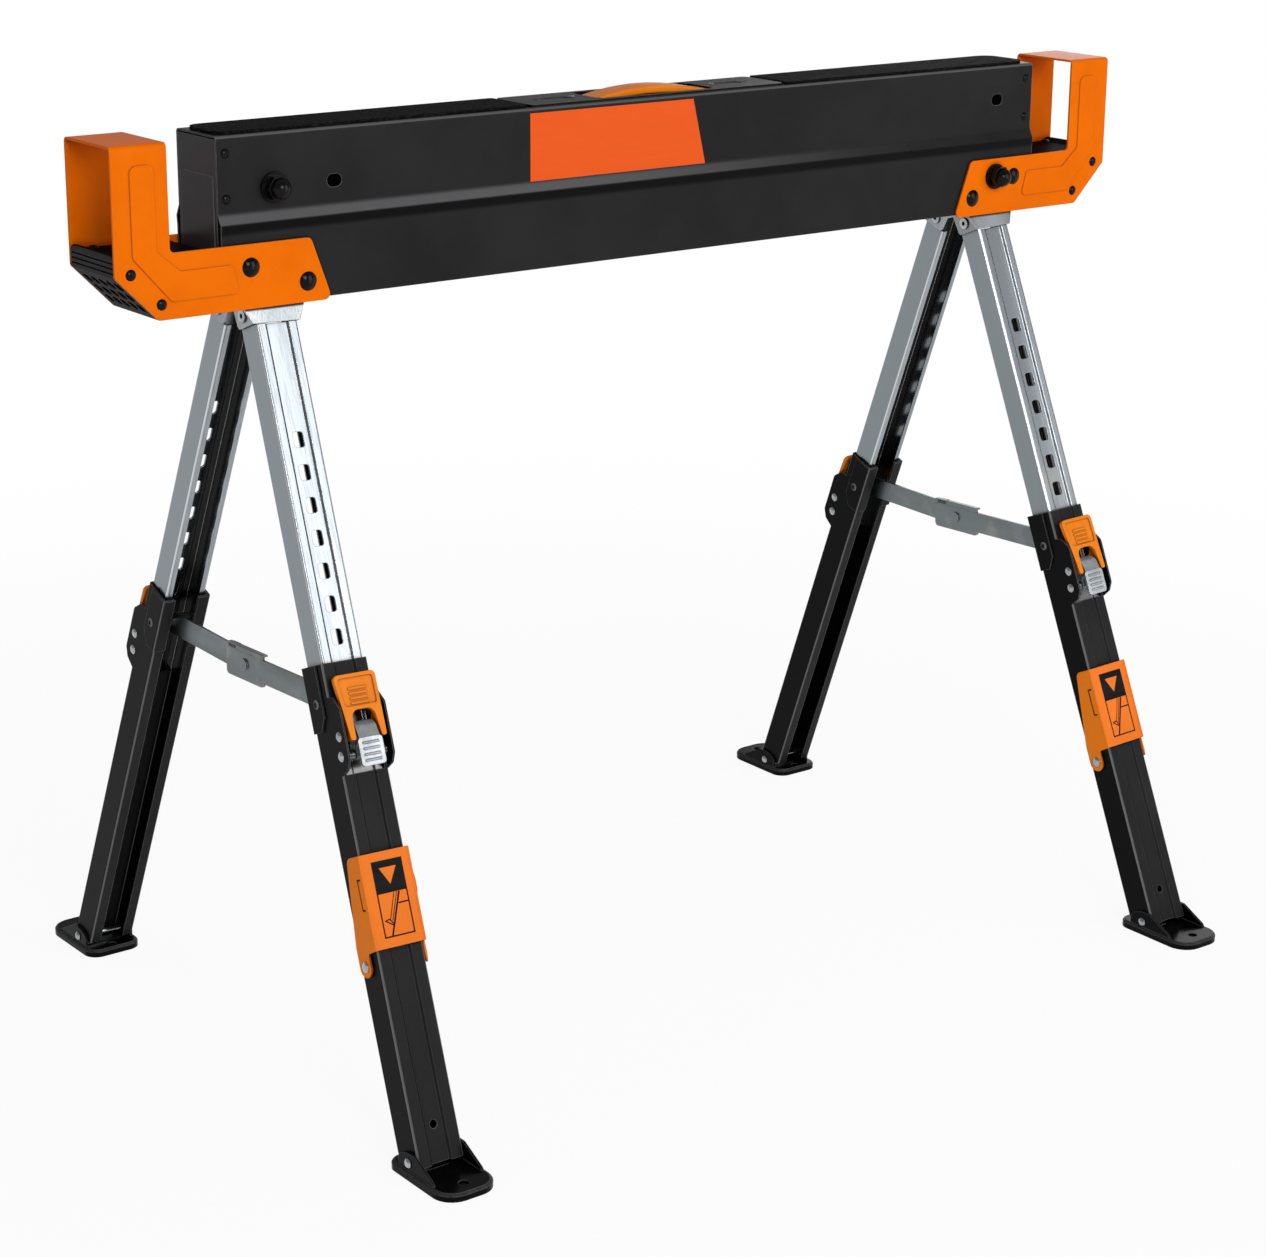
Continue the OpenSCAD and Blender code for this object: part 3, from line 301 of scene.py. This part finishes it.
# the end caps wear the beam's black coat painted lighter, a painted light on the ends that face the side
# lamp
litCapCoat = dict(blackCoat, dark=rgba(0.032, 0.0315, 0.032), light=rgba(0.041, 0.0405, 0.041))
orangeCoat = dict(sprayed, dark=rgba(0.72, 0.130, 0.0006), light=rgba(0.80, 0.150, 0.0008), rough=0.34,
                  cloudScale=14.0, peelScale=900.0, peel=0.14, edge=0.0011, wear=0.12, specular=0.03,
                  edgeShading=0.25, edgeShadingColour=rgba(0.95, 0.27, 0.02), wornColour=rgba(0.55, 0.30, 0.16),
                  crease=0.007, creaseShadeColour=rgba(0.46, 0.075, 0.0006))
# the supports' cheeks are painted lighter than their fronts, a painted light from the side
supportCoat = dict(orangeCoat, dark=rgba(0.76, 0.172, 0.016), light=rgba(0.84, 0.195, 0.022), specular=0.05,
                   sideShadingColour=rgba(1.0, 0.25, 0.012), creaseShadeColour=rgba(0.12, 0.016, 0.0004))
footCoat = dict(sprayed, dark=rgba(0.0016, 0.0016, 0.0018), light=rgba(0.0032, 0.0032, 0.0034), rough=0.17,
                cloudScale=22.0, peelScale=420.0, peel=0.10, edge=0.0014, wear=0.06, specular=0.05,
                edgeShading=0.6, edgeShadingColour=rgba(0.12, 0.12, 0.122), wornColour=rgba(0.3, 0.3, 0.31),
                crease=0.008, creaseShadeColour=rgba(0.0012, 0.0012, 0.0013))
fastenerCoat = dict(sprayed, dark=rgba(0.0016, 0.0016, 0.0016), light=rgba(0.0032, 0.0032, 0.0032),
                    rough=0.13, cloudScale=60.0, peelScale=1400.0, peel=0.06, edge=0.0006, wear=0.05,
                    specular=0.12, edgeShading=0.15, edgeShadingColour=rgba(0.05, 0.05, 0.05),
                    wornColour=rgba(0.2, 0.2, 0.2), crease=0.003, creaseShadeColour=rgba(0.0015, 0.0015, 0.0015))


def zincPlate(name, look):
    # bright zinc: blue-grey with faint yellow and violet clouds, drawn lines along the leg, fine spangle
    f = Finish(name)
    drawn = f.legPlace() if "bendHighlightColour" in look else None
    clouds = f.noise(look["cloudScale"], 4.0, 0.5, look["grain"], drawn)
    tint = f.noise(look["tintScale"], 3.0)
    lines = f.noise(look["lineScale"], 3.0, 0.6, look["grain"], drawn)
    spangle = f.cells(look["spangle"], "Distance")
    rounded = f.roundEdge(look["edge"])
    edges = f.edgeMask(rounded)
    colour = f.shades(clouds, look)
    colour = f.blend(f.band(tint, *look["warmFrom"]) * look["warmShare"], colour, look["warm"])
    colour = f.blend(f.band(tint, *look["violetFrom"]) * look["violetShare"], colour, look["violet"])
    colour = f.blend(f.band(lines, *look["streakFrom"]) * look["streakShare"], colour, look["streak"])
    if "bendHighlightColour" in look:
        colour = f.legLines(colour, look)
    # painted shade in the plate's corners and channels
    colour = f.blend(f.band(f.openness(look["crease"]), *look["creaseShadeFrom"]), colour, look["creaseShade"])
    # painted highlight along the edges; on the small heads this is a painted shade round the rims
    colour = f.blend(edges * look["edgeShading"], colour, look["edgeShadingColour"])
    uneven = (lines - 0.5) * look["lineRough"] + (clouds - 0.5) * look["cloudRough"]
    height = lines * look["lineDepth"] + spangle * look["spangleDepth"]
    f.set(base=colour, metal=look["metal"], rough=look["rough"] + uneven,
          normal=f.bump(height, look["bump"], look["depth"], rounded))
    return f.material


legZinc = {"metal": 1.0, "dark": rgba(0.25, 0.275, 0.295), "light": rgba(0.37, 0.40, 0.425), "rough": 0.22,
           "cloudScale": 4.0, "cloudRough": 0.14, "grain": (6.0, 6.0, 0.35), "tintScale": 16.0,
           "warm": rgba(0.36, 0.36, 0.31), "warmFrom": (0.56, 0.72), "warmShare": 0.4,
           "violet": rgba(0.25, 0.26, 0.32), "violetFrom": (0.44, 0.3), "violetShare": 0.35,
           "streak": rgba(0.17, 0.185, 0.20), "streakFrom": (0.42, 0.62), "streakShare": 0.35,
           "lineScale": 110.0, "lineRough": 0.16, "lineDepth": 0.6, "spangle": 240.0, "spangleDepth": 0.3,
           "crease": 0.03, "creaseShade": rgba(0.10, 0.095, 0.092), "creaseShadeFrom": (0.9, 0.5), "bump": 0.10,
           "depth": 0.0002, "edge": 0.0008, "edgeShading": 0.5, "edgeShadingColour": rgba(0.66, 0.69, 0.72)}
# the leg zinc takes painted highlights on its bends, a painted shade line in one groove and painted shade on
# its sides
legSheet = dict(legZinc, bump=0.03, bendHighlightColour=rgba(0.66, 0.69, 0.71), sideShadingColour=rgba(0.222, 0.25, 0.268),
                grooveShadeColour=rgba(0.010, 0.011, 0.012))
# the pawl is the leg zinc painted lighter and less metallic, a painted light where the paddle shades it
litPawlZinc = dict(legZinc, dark=rgba(0.30, 0.325, 0.34), light=rgba(0.42, 0.45, 0.47), rough=0.26,
                cloudScale=45.0, grain=(1.0, 1.0, 1.0), bump=0.05, crease=0.003, metal=0.55)
# the small heads take a painted shade round their rims in place of an edge highlight
smallZinc = dict(legZinc, dark=rgba(0.33, 0.35, 0.36), light=rgba(0.50, 0.525, 0.54), cloudScale=45.0,
                 tintScale=50.0, grain=(1.0, 1.0, 1.0), bump=0.14, edge=0.0006, crease=0.004,
                 edgeShadingColour=rgba(0.12, 0.13, 0.14))
linkZinc = dict(legZinc, dark=rgba(0.10, 0.118, 0.118), light=rgba(0.18, 0.205, 0.205), rough=0.34,
                cloudScale=9.0, tintScale=28.0, grain=(4.0, 0.4, 4.0), bump=0.14, crease=0.005)
yokeZinc = dict(legZinc, dark=rgba(0.19, 0.207, 0.218), light=rgba(0.33, 0.352, 0.367), crease=0.005)


def mouldedPlastic(name, look):
    # moulded plastic: fine spark grain, slight clouding, painted highlights along the edges and painted
    # shade in the creases
    f = Finish(name)
    clouds = f.noise(look["cloudScale"], 3.0)
    grain = f.noise(look["grainScale"], 2.0, 0.6)
    rounded = f.roundEdge(look["edge"])
    edges = f.edgeMask(rounded)
    colour = f.shades(clouds, look)
    # painted shade in corners and creases
    colour = f.blend(f.band(f.openness(look["crease"]), *look["creaseFrom"]), colour, look["creaseShadeColour"])
    # painted highlight along the edges
    colour = f.blend(edges * look["edgeShading"], colour, look["edgeShadingColour"])
    # painted shade on the faces that look up
    if "topShadeColour" in look:
        colour = f.blend(f.band(f.facing("Z"), *look["topShadeFrom"]), colour, look["topShadeColour"])
    f.set(base=colour, rough=look["rough"] + (grain - 0.5) * look["grainRough"],
          normal=f.bump(grain, look["grain"], look["depth"], rounded), specular=look["specular"])
    return f.material


# what both plastics share
moulded = {"creaseFrom": (0.95, 0.6), "grainRough": 0.2, "depth": 0.0003}
blackPlastic = dict(moulded, dark=rgba(0.005, 0.005, 0.0053), light=rgba(0.010, 0.010, 0.0104), rough=0.34,
                    cloudScale=20.0, grainScale=1500.0, grain=0.2, edge=0.0008, edgeShading=0.7,
                    edgeShadingColour=rgba(0.22, 0.22, 0.22), specular=0.035, crease=0.006,
                    creaseShadeColour=rgba(0.0015, 0.0015, 0.0016))
# the ribbed corner blocks are matt, with painted shade on the faces that look up
blockPlastic = dict(blackPlastic, dark=rgba(0.045, 0.045, 0.046), light=rgba(0.056, 0.056, 0.057), rough=0.6,
                    specular=0.01, crease=0.012, topShadeFrom=(0.8, 0.95), topShadeColour=rgba(0.003, 0.003, 0.003))
orangePlastic = dict(moulded, dark=rgba(0.76, 0.195, 0.005), light=rgba(0.83, 0.225, 0.008), rough=0.30,
                     cloudScale=40.0, grainScale=1800.0, grain=0.12, edge=0.0011, edgeShading=0.3,
                     edgeShadingColour=rgba(0.98, 0.38, 0.06), specular=0.10, crease=0.004,
                     creaseShadeColour=rgba(0.30, 0.055, 0.002))


def gritRubber(name, look):
    # coarse grit strip: every grain is a small bump with its own shade
    f = Finish(name)
    cells = f.cells(look["grit"], "Distance")
    tone = f.node("ShaderNodeSeparateColor", inputs={"Color": f.cells(look["grit"], "Color")}, out="Red")
    patches = f.noise(look["patchScale"], 4.0)
    colour = f.blend(f.band(tone, *look["paleFrom"]) * look["paleShare"], look["dark"], look["light"])
    colour = f.blend(f.band(patches, *look["dustFrom"]) * look["dustShare"], colour, look["dust"])
    f.set(base=colour, rough=look["rough"] + (tone - 0.5) * look["toneRough"], specular=look["specular"],
          normal=f.bump(1 - cells, look["bump"], look["depth"], f.roundEdge(look["edge"])))
    return f.material


gripLook = {"grit": 900.0, "dark": rgba(0.003, 0.003, 0.003), "light": rgba(0.026, 0.026, 0.027),
            "paleFrom": (0.55, 1.0), "paleShare": 0.8, "patchScale": 25.0,
            "dust": rgba(0.011, 0.011, 0.0115), "dustFrom": (0.45, 0.75), "dustShare": 0.35, "rough": 0.72,
            "toneRough": 0.3, "specular": 0.025, "bump": 0.9, "depth": 0.0007, "edge": 0.0008}


def stickerFilm(name, look):
    # printed film: even colour with a faint roll pattern and a satin surface
    f = Finish(name)
    rolls = f.noise(look["rollScale"], 2.0, 0.5, look["rollStretch"])
    fibre = f.noise(look["fibreScale"], 2.0)
    f.set(base=f.shades(rolls, look), rough=look["rough"] + (fibre - 0.5) * look["fibreRough"],
          specular=look["specular"],
          normal=f.bump(fibre, look["bump"], look["depth"], f.roundEdge(look["edge"])))
    return f.material


panelFilm = {"dark": rgba(0.73, 0.0905, 0.0096), "light": rgba(0.74, 0.0925, 0.0104), "rough": 0.42,
             "specular": 0.08, "rollScale": 60.0, "rollStretch": (0.4, 1.0, 4.0), "fibreScale": 900.0,
             "fibreRough": 0.12, "bump": 0.06, "depth": 0.0001, "edge": 0.0002}
inkFilm = dict(panelFilm, dark=rgba(0.006, 0.006, 0.006), light=rgba(0.010, 0.010, 0.010), rough=0.45,
               specular=0.05)

finishes = {
    "shell": powderCoat("beamBlackCoat", shellCoat),
    "cap": powderCoat("endCapLitBlackCoat", litCapCoat),
    "leg": powderCoat("legBlackCoat", sleeveCoat),
    "orange": powderCoat("bracketOrangeCoat", orangeCoat),
    "support": powderCoat("supportOrangeCoat", supportCoat),
    "foot": powderCoat("footGlossCoat", footCoat),
    "fastener": powderCoat("fastenerBlackOxide", fastenerCoat),
    "legZinc": zincPlate("legZincPlate", legSheet),
    "litPawlZinc": zincPlate("litPawlZincPlate", litPawlZinc),
    "smallZinc": zincPlate("smallZincPlate", smallZinc),
    "linkZinc": zincPlate("linkZincPlate", linkZinc),
    "yokeZinc": zincPlate("yokeZincPlate", yokeZinc),
    "plastic": mouldedPlastic("blackMoulding", blackPlastic),
    "block": mouldedPlastic("cornerBlockMoulding", blockPlastic),
    "paddle": mouldedPlastic("orangeMoulding", orangePlastic),
    "grip": gritRubber("gritStrip", gripLook),
    "panel": stickerFilm("frontPanelFilm", panelFilm),
    "ink": stickerFilm("supportInkFilm", inkFilm)}
print("finishes made:", len(finishes))

nodeFinish = {
    "beam_shell": "shell", "end_caps": "cap", "grip_pads": "grip", "handle_tray": "plastic",
    "carry_handle": "paddle", "handle_blocks": "plastic", "stop_bracket": "orange", "corner_blocks": "block",
    "bracket_bolts": "fastener", "small_screws": "fastener", "pivot_bolts": "fastener",
    "dome_nuts": "fastener", "yoke": "yokeZinc", "hinge_rivets": "smallZinc", "upper_leg": "legZinc",
    "lower_leg": "leg", "guide_clips": "leg", "latch_paddle": "paddle", "latch_pawl": "litPawlZinc",
    "leg_pins": "smallZinc", "foot": "foot", "material_support": "support", "spreader_pin": "smallZinc",
    "spreader_link": "linkZinc"}
for name, obj in nodes.items():
    key = max((k for k in nodeFinish if name == k or name.startswith(k + "_")), key=len)
    obj.data.materials.clear()
    obj.data.materials.append(finishes[nodeFinish[key]])
print("CAD nodes finished")


def addPiece(name, bm, finish, body):
    mesh = bpy.data.meshes.new(name)
    bm.to_mesh(mesh)
    bm.free()
    mesh.materials.append(finishes[finish])
    obj = bpy.data.objects.new(name, mesh)
    scene.collection.objects.link(obj)
    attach(obj, body)
    return obj


def pullOut(bm, grown, vec):
    # moves the vertices that an extrusion has just made
    verts = [v for v in grown["geom"] if isinstance(v, bmesh.types.BMVert)]
    bmesh.ops.translate(bm, verts=verts, vec=vec)


def sheetOf(bm, corners, thick, matrix):
    # a thin flat sheet through the given corners, lifted along its own normal
    face = bm.faces.new([bm.verts.new(matrix @ Vector(c)) for c in corners])
    face.normal_update()
    lift = face.normal * thick * 0.001
    pullOut(bm, bmesh.ops.extrude_face_region(bm, geom=[face]), lift)
    bmesh.ops.recalc_face_normals(bm, faces=bm.faces[:])


def barOf(bm, corners, vec):
    # a solid bar: a flat outline pulled along vec
    face = bm.faces.new([bm.verts.new(c) for c in corners])
    pullOut(bm, bmesh.ops.extrude_face_region(bm, geom=[face]), vec)
    bmesh.ops.recalc_face_normals(bm, faces=bm.faces[:])


def roundEdges(bm, edges, radius, rounds):
    bmesh.ops.bevel(bm, geom=edges, offset=radius, offset_type="OFFSET", affect="EDGES", segments=rounds,
                    profile=0.5, material=-1)


# plain colour panel on the front of the beam
panel = {"left": -143.0, "right": 46.0, "slant": 14.0, "low": 738.0, "high": 795.5, "wallY": -31.5,
         "thick": 0.25}
bm = bmesh.new()
sheetOf(bm, [(panel["left"], panel["wallY"], panel["low"]), (panel["right"], panel["wallY"], panel["low"]),
             (panel["right"] - panel["slant"], panel["wallY"], panel["high"]),
             (panel["left"], panel["wallY"], panel["high"])], panel["thick"], mm)
addPiece("front_panel", bm, "panel", "beam")

# printed sign on each material support: a dark field with a plain arrow, and a line drawing under it
sign = {"face": -18.4, "thick": 0.12, "shift": 1.0, "halfW": 14.4, "top": 451.3, "fieldEnd": 477.6,
        "end": 512.5, "rule": 1.1, "arrow": (457.0, 471.2, 8.2), "lines": [
            (6.4, 478.0, -6.9, 512.0, 1.5), (1.6, 478.0, -6.5, 499.8, 0.6), (4.2, 478.0, -4.4, 500.4, 0.6),
            (4.0, 487.2, 14.0, 487.1, 1.1), (-11.2, 499.4, -3.5, 504.3, 0.9),
            (-11.2, 499.4, -7.0, 498.6, 0.9), (-7.0, 498.6, -3.2, 503.6, 0.9)]}


def signStrip(bm, place, x0, s0, x1, s1, width):
    # one straight line of the drawing, from x0 to x1 across the leg and s0 to s1 down it
    along = Vector((x1 - x0, 0, s0 - s1)).normalized()
    across = Vector((-along.z, 0, along.x)) * width / 2
    start = Vector((x0, sign["face"], -s0))
    stop = Vector((x1, sign["face"], -s1))
    sheetOf(bm, [start - across, stop - across, stop + across, start + across], sign["thick"], place)


for name in ("front_left", "front_right"):
    place = legFrame(name) @ Matrix.Translation((sign["shift"], 0, 0))
    bm = bmesh.new()
    w, face = sign["halfW"], sign["face"]
    top, tip, arrowW = sign["arrow"]
    # the dark field leaves the arrow open, so it is three sheets round a triangle
    field = [(-w, face, -sign["fieldEnd"]), (0, face, -sign["fieldEnd"]), (0, face, -tip),
             (-arrowW, face, -top), (-arrowW, face, -sign["top"]), (-w, face, -sign["top"])]
    sheetOf(bm, field, sign["thick"], place)
    sheetOf(bm, [(-x, y, z) for x, y, z in reversed(field)], sign["thick"], place)
    sheetOf(bm, [(-arrowW, face, -top), (arrowW, face, -top), (arrowW, face, -sign["top"]),
                 (-arrowW, face, -sign["top"])], sign["thick"], place)
    for x in (-w + sign["rule"] / 2, w - sign["rule"] / 2):
        signStrip(bm, place, x, sign["fieldEnd"], x, sign["end"], sign["rule"])
    signStrip(bm, place, -w, sign["end"], w, sign["end"], sign["rule"])
    for line in sign["lines"]:
        signStrip(bm, place, *line)
    addPiece("support_sign_" + name, bm, "ink", "material_support_" + name)

# pressed bulge and a hanging tab on the right cheek of each support, next to its front face
tab = {"cheek": 24.0, "front": -15.4, "deep": 4.0, "edge": 0.35, "rounds": 2, "bulge": [
    (-0.2, 462.5), (2.0, 465.0), (2.8, 472.0), (2.8, 480.0), (1.8, 484.5), (-0.2, 487.0)], "hang": [
    (-1.75, 521.3), (0.0, 521.3), (0.4, 531.0), (0.1, 536.5), (-0.6, 539.0), (-1.2, 538.4), (-1.75, 533.0)]}
for name in ("front_left", "front_right"):
    bm = bmesh.new()
    for outline in (tab["bulge"], tab["hang"]):
        barOf(bm, [(tab["cheek"] + x, tab["front"], -s) for x, s in outline], (0, tab["deep"], 0))
    roundEdges(bm, bm.edges[:], tab["edge"], tab["rounds"])
    bmesh.ops.transform(bm, matrix=legFrame(name), verts=bm.verts[:])
    addPiece("support_tab_" + name, bm, "support", "material_support_" + name)
print("panel, signs and support tabs made")

# folded lip along the top of each front spreader link's lap, over the edge of the rear link
lap = {"anchorS": 318.0, "anchorY": 4.5, "overCentre": 4.0, "half": 30.0, "left": -9.2, "plate": 2.5,
       "right": -3.7, "low": 9.8, "under": 12.4, "top": 14.2, "edge": 0.5, "rounds": 2}
lapSpan = legSizes["hingeY"] + lap["anchorS"] * math.sin(splay) - lap["anchorY"] * math.cos(splay)
lapZ = -lap["anchorS"] * math.cos(splay) - lap["anchorY"] * math.sin(splay)
lapLen = math.hypot(lapSpan, lap["overCentre"])
lapDip = math.atan2(lap["overCentre"], lapSpan)
lapInner = lap["left"] + lap["plate"]
lapOutline = [(lap["left"], lap["low"]), (lapInner, lap["low"]), (lapInner, lap["under"]),
              (lap["right"], lap["under"]), (lap["right"], lap["top"]), (lap["left"], lap["top"])]
for end, tag in ((-1, "left"), (1, "right")):
    place = pairFrame(end) @ Matrix.Translation((0, -lapSpan, lapZ)) @ Matrix.Rotation(-lapDip, 4, "X")
    bm = bmesh.new()
    barOf(bm, [(x, lapLen - lap["half"], z) for x, z in lapOutline], (0, 2 * lap["half"], 0))
    roundEdges(bm, bm.edges[:], lap["edge"], lap["rounds"])
    bmesh.ops.transform(bm, matrix=place, verts=bm.verts[:])
    addPiece("spreader_lip_" + tag, bm, "linkZinc", "spreader_link_front_" + tag)

# return springs wound round each pawl's pin, between the pawl and the ears
spring = {"pinY": -19.0, "pinS": 364.0, "from": 10.3, "to": 19.6, "coil": 3.75, "wire": 0.55, "turns": 7,
          "steps": 18, "sides": 7, "tail": 5.0}
springPin = Vector((0, spring["pinY"], -spring["pinS"]))
count = spring["turns"] * spring["steps"]
for name in legNames:
    bm = bmesh.new()
    for side in (-1, 1):
        start = Matrix.Translation(springPin + Vector((side * spring["from"], spring["coil"], 0)))
        ring = bmesh.ops.create_circle(bm, segments=spring["sides"], radius=spring["wire"],
                                       matrix=start)["verts"]
        loop = []
        for vert in ring:
            loop += [edge for edge in vert.link_edges if edge not in loop]
        pullOut(bm, bmesh.ops.extrude_edge_only(bm, edges=loop), (0, 0, -spring["tail"]))
        rise = side * (spring["to"] - spring["from"]) / count
        bmesh.ops.spin(bm, geom=ring + loop, cent=springPin, axis=(1, 0, 0), dvec=(rise, 0, 0),
                       angle=2 * math.pi * spring["turns"], steps=count)
    bmesh.ops.holes_fill(bm, edges=bm.edges[:], sides=spring["sides"])
    bmesh.ops.recalc_face_normals(bm, faces=bm.faces[:])
    bmesh.ops.transform(bm, matrix=legFrame(name), verts=bm.verts[:])
    for face in bm.faces:
        face.smooth = True
    addPiece("latch_springs_" + name, bm, "smallZinc", "lower_leg_" + name)
print("spreader lips and latch springs made")

# carry strap: one even arch, thicker in the middle than where it runs into the end blocks
strap = {"half": 60.0, "end": 106.0, "halfW": 12.9, "thin": 3.3, "fat": 6.6, "rise": 6.8, "corner": 1.6,
         "rounds": 4, "steps": 44, "gap": 0.1}
strapLow = min(v.co.z for v in nodes["carry_handle"].data.vertices) * 1000 + strap["gap"]
bm = bmesh.new()
half = strap["thin"] / 2
bmesh.ops.create_cube(bm, size=2.0, matrix=Matrix.Diagonal((strap["end"], strap["halfW"], half, 1.0)))
longEdges = [e for e in bm.edges if abs(e.verts[0].co.x - e.verts[1].co.x) > strap["end"]]
roundEdges(bm, longEdges, strap["corner"], strap["rounds"])
for i in range(strap["steps"] + 1):
    station = strap["half"] * (2 * i / strap["steps"] - 1)
    bmesh.ops.bisect_plane(bm, geom=bm.verts[:] + bm.edges[:] + bm.faces[:], plane_co=(station, 0, 0),
                           plane_no=(1, 0, 0))
for vert in bm.verts:
    inner = max(0.0, 1 - (vert.co.x / strap["half"]) ** 2)
    deeper = (strap["fat"] - strap["thin"]) * math.sqrt(inner)
    lift = strapLow + half + strap["rise"] * inner
    vert.co.z += lift if vert.co.z > 0 else lift - deeper
bmesh.ops.recalc_face_normals(bm, faces=bm.faces[:])
for face in bm.faces:
    face.smooth = len(face.verts) == 4
bmesh.ops.transform(bm, matrix=mm, verts=bm.verts[:])
carryStrap = addPiece("carry_strap", bm, "paddle", "beam")
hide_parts("carry_handle")

# vertices nearer than this, in millimetres, become one
weldGap = 0.0001


def spinHeads(spots, head):
    # round heads on vertical axes; the outline is radius and height, from the middle outwards
    bm = bmesh.new()
    for x, y, z in spots:
        line = [bm.verts.new((x + r, y, z + h)) for r, h in head["outline"]]
        edges = [bm.edges.new(pair) for pair in zip(line, line[1:])]
        bmesh.ops.spin(bm, geom=line + edges, cent=(x, y, z), axis=(0, 0, 1), angle=2 * math.pi,
                       steps=head["steps"], use_merge=True)
    bmesh.ops.remove_doubles(bm, verts=bm.verts[:], dist=weldGap)
    bmesh.ops.holes_fill(bm, edges=bm.edges[:], sides=head["steps"])
    bmesh.ops.recalc_face_normals(bm, faces=bm.faces[:])
    bmesh.ops.transform(bm, matrix=mm, verts=bm.verts[:])
    return bm


# bright screws through the strap's end blocks, each with a sunk drive
blockScrew = {"x": 77.0, "steps": 24, "outline": [
    (0, 0.35), (0.9, 0.35), (1.05, 1.0), (1.7, 0.8), (2.4, 0.15), (2.4, -0.6)]}
blockTop = max(v.co.z for v in nodes["handle_blocks"].data.vertices) * 1000
bm = spinHeads([(end * blockScrew["x"], 0, blockTop) for end in (-1, 1)], blockScrew)
addPiece("block_screws", bm, "smallZinc", "beam")

# dome heads on the corner blocks, at the rear of the rail slots
slotHead = {"x": 525.0, "y": 27.0, "drop": 89.6, "steps": 28, "outline": [
    (0, 4.2), (1.6, 4.0), (3.2, 3.3), (4.4, 2.2), (5.0, 1.0), (5.0, 0.5), (6.4, 0.5), (6.4, -1.0)]}
slotZ = topZ - slotHead["drop"]
bm = spinHeads([(end * slotHead["x"], slotHead["y"], slotZ) for end in (-1, 1)], slotHead)
addPiece("slot_heads", bm, "fastener", "beam")
print("strap, its screws and the slot heads made")

# studio: pale floor with a rim far out, soft lamps and an even world
studio = {"floorSize": 30.0, "floorTone": 0.86, "floorRough": 0.9, "floorDrop": 0.0005, "rise": 4.0,
          "near": 0.6, "far": 2.2, "glow": 0.92, "ambient": 0.38, "lampAim": (0, 0, 0.45)}
bm = bmesh.new()
bmesh.ops.create_grid(bm, x_segments=1, y_segments=1, size=studio["floorSize"])
# the rim keeps low views white
pullOut(bm, bmesh.ops.extrude_edge_only(bm, edges=bm.edges[:]), (0, 0, studio["rise"]))
mesh = bpy.data.meshes.new("floor")
bm.to_mesh(mesh)
bm.free()
floor = bpy.data.objects.new("floor", mesh)
floor.location.z = -studio["floorDrop"]
scene.collection.objects.link(floor)
f = Finish("floorPale")
f.set(base=rgba(*[studio["floorTone"]] * 3), rough=studio["floorRough"])
seen = f.node("ShaderNodeLightPath", out="Is Camera Ray")
seen = seen + f.node("ShaderNodeLightPath", out="Is Glossy Ray")
seen = (seen + f.node("ShaderNodeLightPath", out="Is Transmission Ray")).lowest(1.0)
glow = f.node("ShaderNodeEmission", inputs={"Color": rgba(1, 1, 1), "Strength": 1.0})
matte = Wire(f.tree, f.shader.outputs[0])
# the floor turns plain white away from the object and keeps the shadow under it
reach = f.node("ShaderNodeVectorMath", {"operation": "LENGTH"}, {0: f.place}, out="Value")
share = studio["glow"] + f.band(reach, studio["near"], studio["far"]) * (1 - studio["glow"])
mixed = f.node("ShaderNodeMixShader", inputs={0: seen * share, 1: matte, 2: glow})
f.tree.links.new(mixed.socket, f.tree.nodes["Material Output"].inputs["Surface"])
mesh.materials.append(f.material)

world = bpy.data.worlds.new("studioWorld")
scene.world = world
world.use_nodes = True
background = world.node_tree.nodes["Background"]
background.inputs["Color"].default_value = rgba(1, 1, 1)
background.inputs["Strength"].default_value = studio["ambient"]

lamps = {
    "keyLamp": {"at": (-1.0, -3.4, 2.2), "size": 1.5, "power": 64.0},
    "fillLamp": {"at": (1.7, -3.0, 1.65), "size": 2.0, "power": 42.0},
    "rimLamp": {"at": (2.8, 1.9, 1.0), "size": 1.6, "power": 16.0}}
for name, lamp in lamps.items():
    light = bpy.data.lights.new(name, "AREA")
    light.size = lamp["size"]
    light.energy = lamp["power"]
    obj = bpy.data.objects.new(name, light)
    obj.location = lamp["at"]
    aim = Vector(studio["lampAim"]) - obj.location
    obj.rotation_mode = "QUATERNION"
    obj.rotation_quaternion = aim.to_track_quat("-Z", "Y")
    scene.collection.objects.link(obj)
scene.view_settings.view_transform = "Standard"
print("studio made")

# camera at the photograph's viewing angle, for a 1266 by 1257 frame
shot = {"azimuth": -37.32, "elevation": 17.33, "roll": 0.44, "distance": 2.76056,
        "aim": (-0.00599, 0.0, 0.3083), "focal": 2983.97, "wide": 1266.0, "sensor": 36.0}
az, el, roll = (math.radians(shot[k]) for k in ("azimuth", "elevation", "roll"))
back = Vector((math.sin(az) * math.cos(el), -math.cos(az) * math.cos(el), math.sin(el)))
right = Vector((0, 0, 1)).cross(back).normalized()
up = back.cross(right)
right, up = right * math.cos(roll) + up * math.sin(roll), up * math.cos(roll) - right * math.sin(roll)
cameraData = bpy.data.cameras.new("photoCamera")
cameraData.sensor_width = shot["sensor"]
cameraData.lens = shot["focal"] / shot["wide"] * shot["sensor"]
camera = bpy.data.objects.new("photoCamera", cameraData)
spot = Vector(shot["aim"]) + back * shot["distance"]
camera.matrix_world = Matrix.Translation(spot) @ Matrix((right, up, back)).transposed().to_4x4()
scene.collection.objects.link(camera)
scene.camera = camera
print("camera set")
